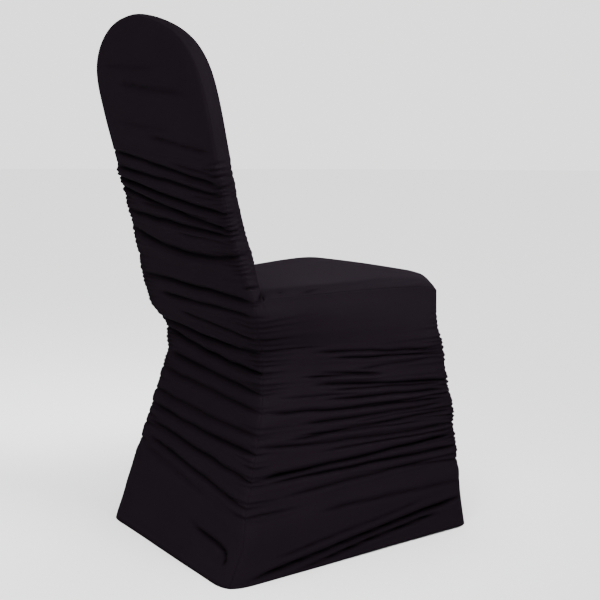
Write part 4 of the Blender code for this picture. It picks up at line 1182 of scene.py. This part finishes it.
PIECES = {
    "back_panel": add_cloth("back_cloth", one_patch(BACK, (0, 1, 0), BACK_PAINTED_SHADING)),
    "inner_back": add_cloth("inner_back_cloth", inner_patches()),
    "seat_panel": add_cloth("seat_cloth", one_patch(SEAT, (0, 0, 1), SEAT_PAINTED_SHADING)),
    "side_panel_right": add_cloth("right_side_cloth", one_patch(RIGHT, (-1, 0, 0), RIGHT_PAINTED_SHADING)),
    "side_panel_left": add_cloth("left_side_cloth", one_patch(LEFT, (1, 0, 0), LEFT_PAINTED_SHADING)),
    "front_panel": add_cloth("front_cloth", one_patch(FRONT, (0, -1, 0), FRONT_PAINTED_SHADING)),
}
print("pieces:", len(PIECES))

# %% [markdown]
# ## Stitches of the knit
# Close up, the cloth is a fine jersey: columns of small V-shaped stitches about a millimetre wide, with a
# trace of fuzz. A picture of knit could be laid on it, but it would stretch and repeat. Sines of the flat
# place make the stitches instead: the UV map is in metres, so they keep their real size round every fold.

# %% Stitches of the knit
WALE_PITCH, COURSE_PITCH = 0.0011, 0.0009
STITCH_BEND, COURSE_WAVE = 2.2, 0.35
FUZZ_SCALE, FUZZ_DETAIL, FUZZ_HEIGHT = 900.0, 2.0, 0.5
SLOW_SCALE, SLOW_DETAIL = 9.0, 3.0


def math_node(tree, operation, *values):
    """A Math node's result, with its inputs set or linked."""
    node = tree.nodes.new("ShaderNodeMath")
    node.operation = operation
    for socket, value in zip(node.inputs, values):
        if isinstance(value, bpy.types.NodeSocket):
            tree.links.new(value, socket)
        else:
            socket.default_value = value
    return node.outputs[0]


def noise_node(tree, place, scale, detail):
    """A Noise texture's value on the given coordinates."""
    node = tree.nodes.new("ShaderNodeTexNoise")
    node.inputs["Scale"].default_value = scale
    node.inputs["Detail"].default_value = detail
    tree.links.new(place, node.inputs["Vector"])
    return node.outputs["Fac"]


def stitch_height(tree):
    """The wales' ridges times the courses' waves, which bend to a V with the distance from a wale."""
    uv = tree.nodes.new("ShaderNodeUVMap")
    uv.uv_map = "cloth"
    split = tree.nodes.new("ShaderNodeSeparateXYZ")
    tree.links.new(uv.outputs["UV"], split.inputs[0])
    wale = math_node(tree, "MULTIPLY", split.outputs["X"], np.pi / WALE_PITCH)
    ridge = math_node(tree, "ABSOLUTE", math_node(tree, "SINE", wale))
    course = math_node(tree, "MULTIPLY", split.outputs["Y"], 2 * np.pi / COURSE_PITCH)
    bent = math_node(tree, "SINE", math_node(tree, "MULTIPLY_ADD", ridge, STITCH_BEND, course))
    wave = math_node(tree, "MULTIPLY_ADD", bent, COURSE_WAVE, 1 - COURSE_WAVE)
    return math_node(tree, "MULTIPLY", ridge, wave)


print("stitches:", WALE_PITCH * 1000, "by", COURSE_PITCH * 1000, "mm")

# %% [markdown]
# ## Stretch knit
# From a step away only the knit's soft matt tone shows, with shade painted darker inside the creases. Each
# panel could have its own nodes, but the cloth is the same on all. So the pattern is one node group that
# gives out a colour, a roughness and a normal. The colour is the cloth's own, times a slow unevenness, the
# stitches' shade, and one less the painted crease shade.

# %% Stretch knit
BUMP_DISTANCE, ROUGHNESS_VARIES = 0.0003, 0.10
SLOW_SHADE, SLOW_SHADE_LOWEST = 0.24, 0.88
STITCH_SHADE, STITCH_SHADE_LOWEST = 0.24, 0.86
KNIT_INPUTS = ("Tone", "Crease", "Crease Dark", "Roughness", "Bump")


def knit_sockets(tree):
    """The group's inputs and outputs, added by name."""
    tree.interface.new_socket("Color", in_out="INPUT", socket_type="NodeSocketColor")
    for name in KNIT_INPUTS:
        tree.interface.new_socket(name, in_out="INPUT", socket_type="NodeSocketFloat")
    for name, kind in (("Color", "Color"), ("Roughness", "Float"), ("Normal", "Vector")):
        tree.interface.new_socket(name, in_out="OUTPUT", socket_type="NodeSocket" + kind)
    return tree.nodes.new("NodeGroupInput").outputs, tree.nodes.new("NodeGroupOutput").inputs


def knit_group():
    """The knit's colour, roughness and normal from its stitches, its fuzz, a slow noise and the
    painted crease shade.
    """
    tree = bpy.data.node_groups.new("stretch knit", "ShaderNodeTree")
    given, out = knit_sockets(tree)
    stitch = stitch_height(tree)
    place = tree.nodes.new("ShaderNodeTexCoord").outputs["Object"]
    fuzz = noise_node(tree, place, FUZZ_SCALE, FUZZ_DETAIL)
    slow = noise_node(tree, place, SLOW_SCALE, SLOW_DETAIL)
    bump = tree.nodes.new("ShaderNodeBump")
    bump.inputs["Distance"].default_value = BUMP_DISTANCE
    tree.links.new(math_node(tree, "MULTIPLY_ADD", fuzz, FUZZ_HEIGHT, stitch), bump.inputs["Height"])
    tree.links.new(given["Bump"], bump.inputs["Strength"])
    shade = math_node(tree, "MULTIPLY_ADD", slow, SLOW_SHADE, SLOW_SHADE_LOWEST)
    shade = math_node(tree, "MULTIPLY", shade, given["Tone"])
    by_stitch = math_node(tree, "MULTIPLY_ADD", stitch, STITCH_SHADE, STITCH_SHADE_LOWEST)
    shade = math_node(tree, "MULTIPLY", shade, by_stitch)
    # Painted shade: the crease mask times its strength is taken off the colour.
    painted_darkness = math_node(tree, "MULTIPLY", given["Crease"], given["Crease Dark"])
    shade = math_node(tree, "MULTIPLY", shade, math_node(tree, "SUBTRACT", 1.0, painted_darkness))
    scale = tree.nodes.new("ShaderNodeVectorMath")
    scale.operation = "SCALE"
    tree.links.new(given["Color"], scale.inputs[0])
    tree.links.new(shade, scale.inputs["Scale"])
    rough = math_node(tree, "MULTIPLY_ADD", slow, ROUGHNESS_VARIES, given["Roughness"])
    tree.links.new(scale.outputs[0], out["Color"])
    tree.links.new(rough, out["Roughness"])
    tree.links.new(bump.outputs["Normal"], out["Normal"])
    return tree


KNIT = knit_group()
print("knit group:", len(KNIT.nodes), "nodes")

# %% [markdown]
# ## Black cloth
# All six panels are dyed alike. The seat is a lighter copy of the knit, with a higher tone and a hair more
# green: painted light, for its top that faces the light. The shader's usual gloss could be kept, but a matt
# knit hardly reflects at a grazing angle, so its specular and its sheen are almost 0.

# %% Black cloth
Finish = namedtuple("Finish", "colour tone crease_dark bump roughness")
# The seat's colour and its finish's higher tone are painted light, for its top that faces the light.
KNIT_COLOUR, PAINTED_LIGHT_SEAT_COLOUR = (0.00625, 0.00440, 0.00635, 1.0), (0.0061, 0.0045, 0.0062, 1.0)
RUCHED = Finish(KNIT_COLOUR, 1.0, 0.94, 0.35, 0.80)
SMOOTH = Finish(KNIT_COLOUR, 1.0, 0.80, 0.30, 0.76)
PAINTED_LIGHT_SEAT = Finish(PAINTED_LIGHT_SEAT_COLOUR, 1.36, 0.80, 0.30, 0.76)
SURFACE = {
    "Specular IOR Level": 0.003,
    "Sheen Weight": 0.003,
    "Sheen Roughness": 0.5,
    "Sheen Tint": (0.5, 0.38, 0.52, 1.0),
}


def knit_material(name, finish):
    """A panel's own material: the knit group feeds the shader, whose gloss and sheen are set here."""
    material = bpy.data.materials.new(name)
    material.use_nodes = True
    tree = material.node_tree
    shader = tree.nodes["Principled BSDF"]
    for socket, value in SURFACE.items():
        shader.inputs[socket].default_value = value
    group = tree.nodes.new("ShaderNodeGroup")
    group.node_tree = KNIT
    for socket, value in zip(("Color", "Tone", "Crease Dark", "Bump", "Roughness"), finish):
        group.inputs[socket].default_value = value
    # The crease attribute brings in the painted shade and light.
    crease = tree.nodes.new("ShaderNodeAttribute")
    crease.attribute_name = "crease"
    tree.links.new(crease.outputs["Fac"], group.inputs["Crease"])
    for output, socket in (("Color", "Base Color"), ("Roughness", "Roughness"), ("Normal", "Normal")):
        tree.links.new(group.outputs[output], shader.inputs[socket])
    return material


FINISHES = {"inner_back": SMOOTH, "seat_panel": PAINTED_LIGHT_SEAT}
for node, piece in PIECES.items():
    piece.data.materials.append(knit_material(piece.name, FINISHES.get(node, RUCHED)))
print("materials:", [piece.data.materials[0].name for piece in PIECES.values()])

# %% [markdown]
# ## What each piece of cloth is
# Every piece stands for its solid: the solid is hidden, and the piece is attached to the root body.

# %% What each piece of cloth is
Cut = namedtuple("Cut", "width length held area")
for node, piece in PIECES.items():
    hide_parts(node)
    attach(piece, "root")
print("sheets:", len(PIECES))

# %% [markdown]
# ## Size
# The box of the finished cover could be read off the screen. Here the view layer is only brought up to
# date.

# %% Size
bpy.context.view_layer.update()
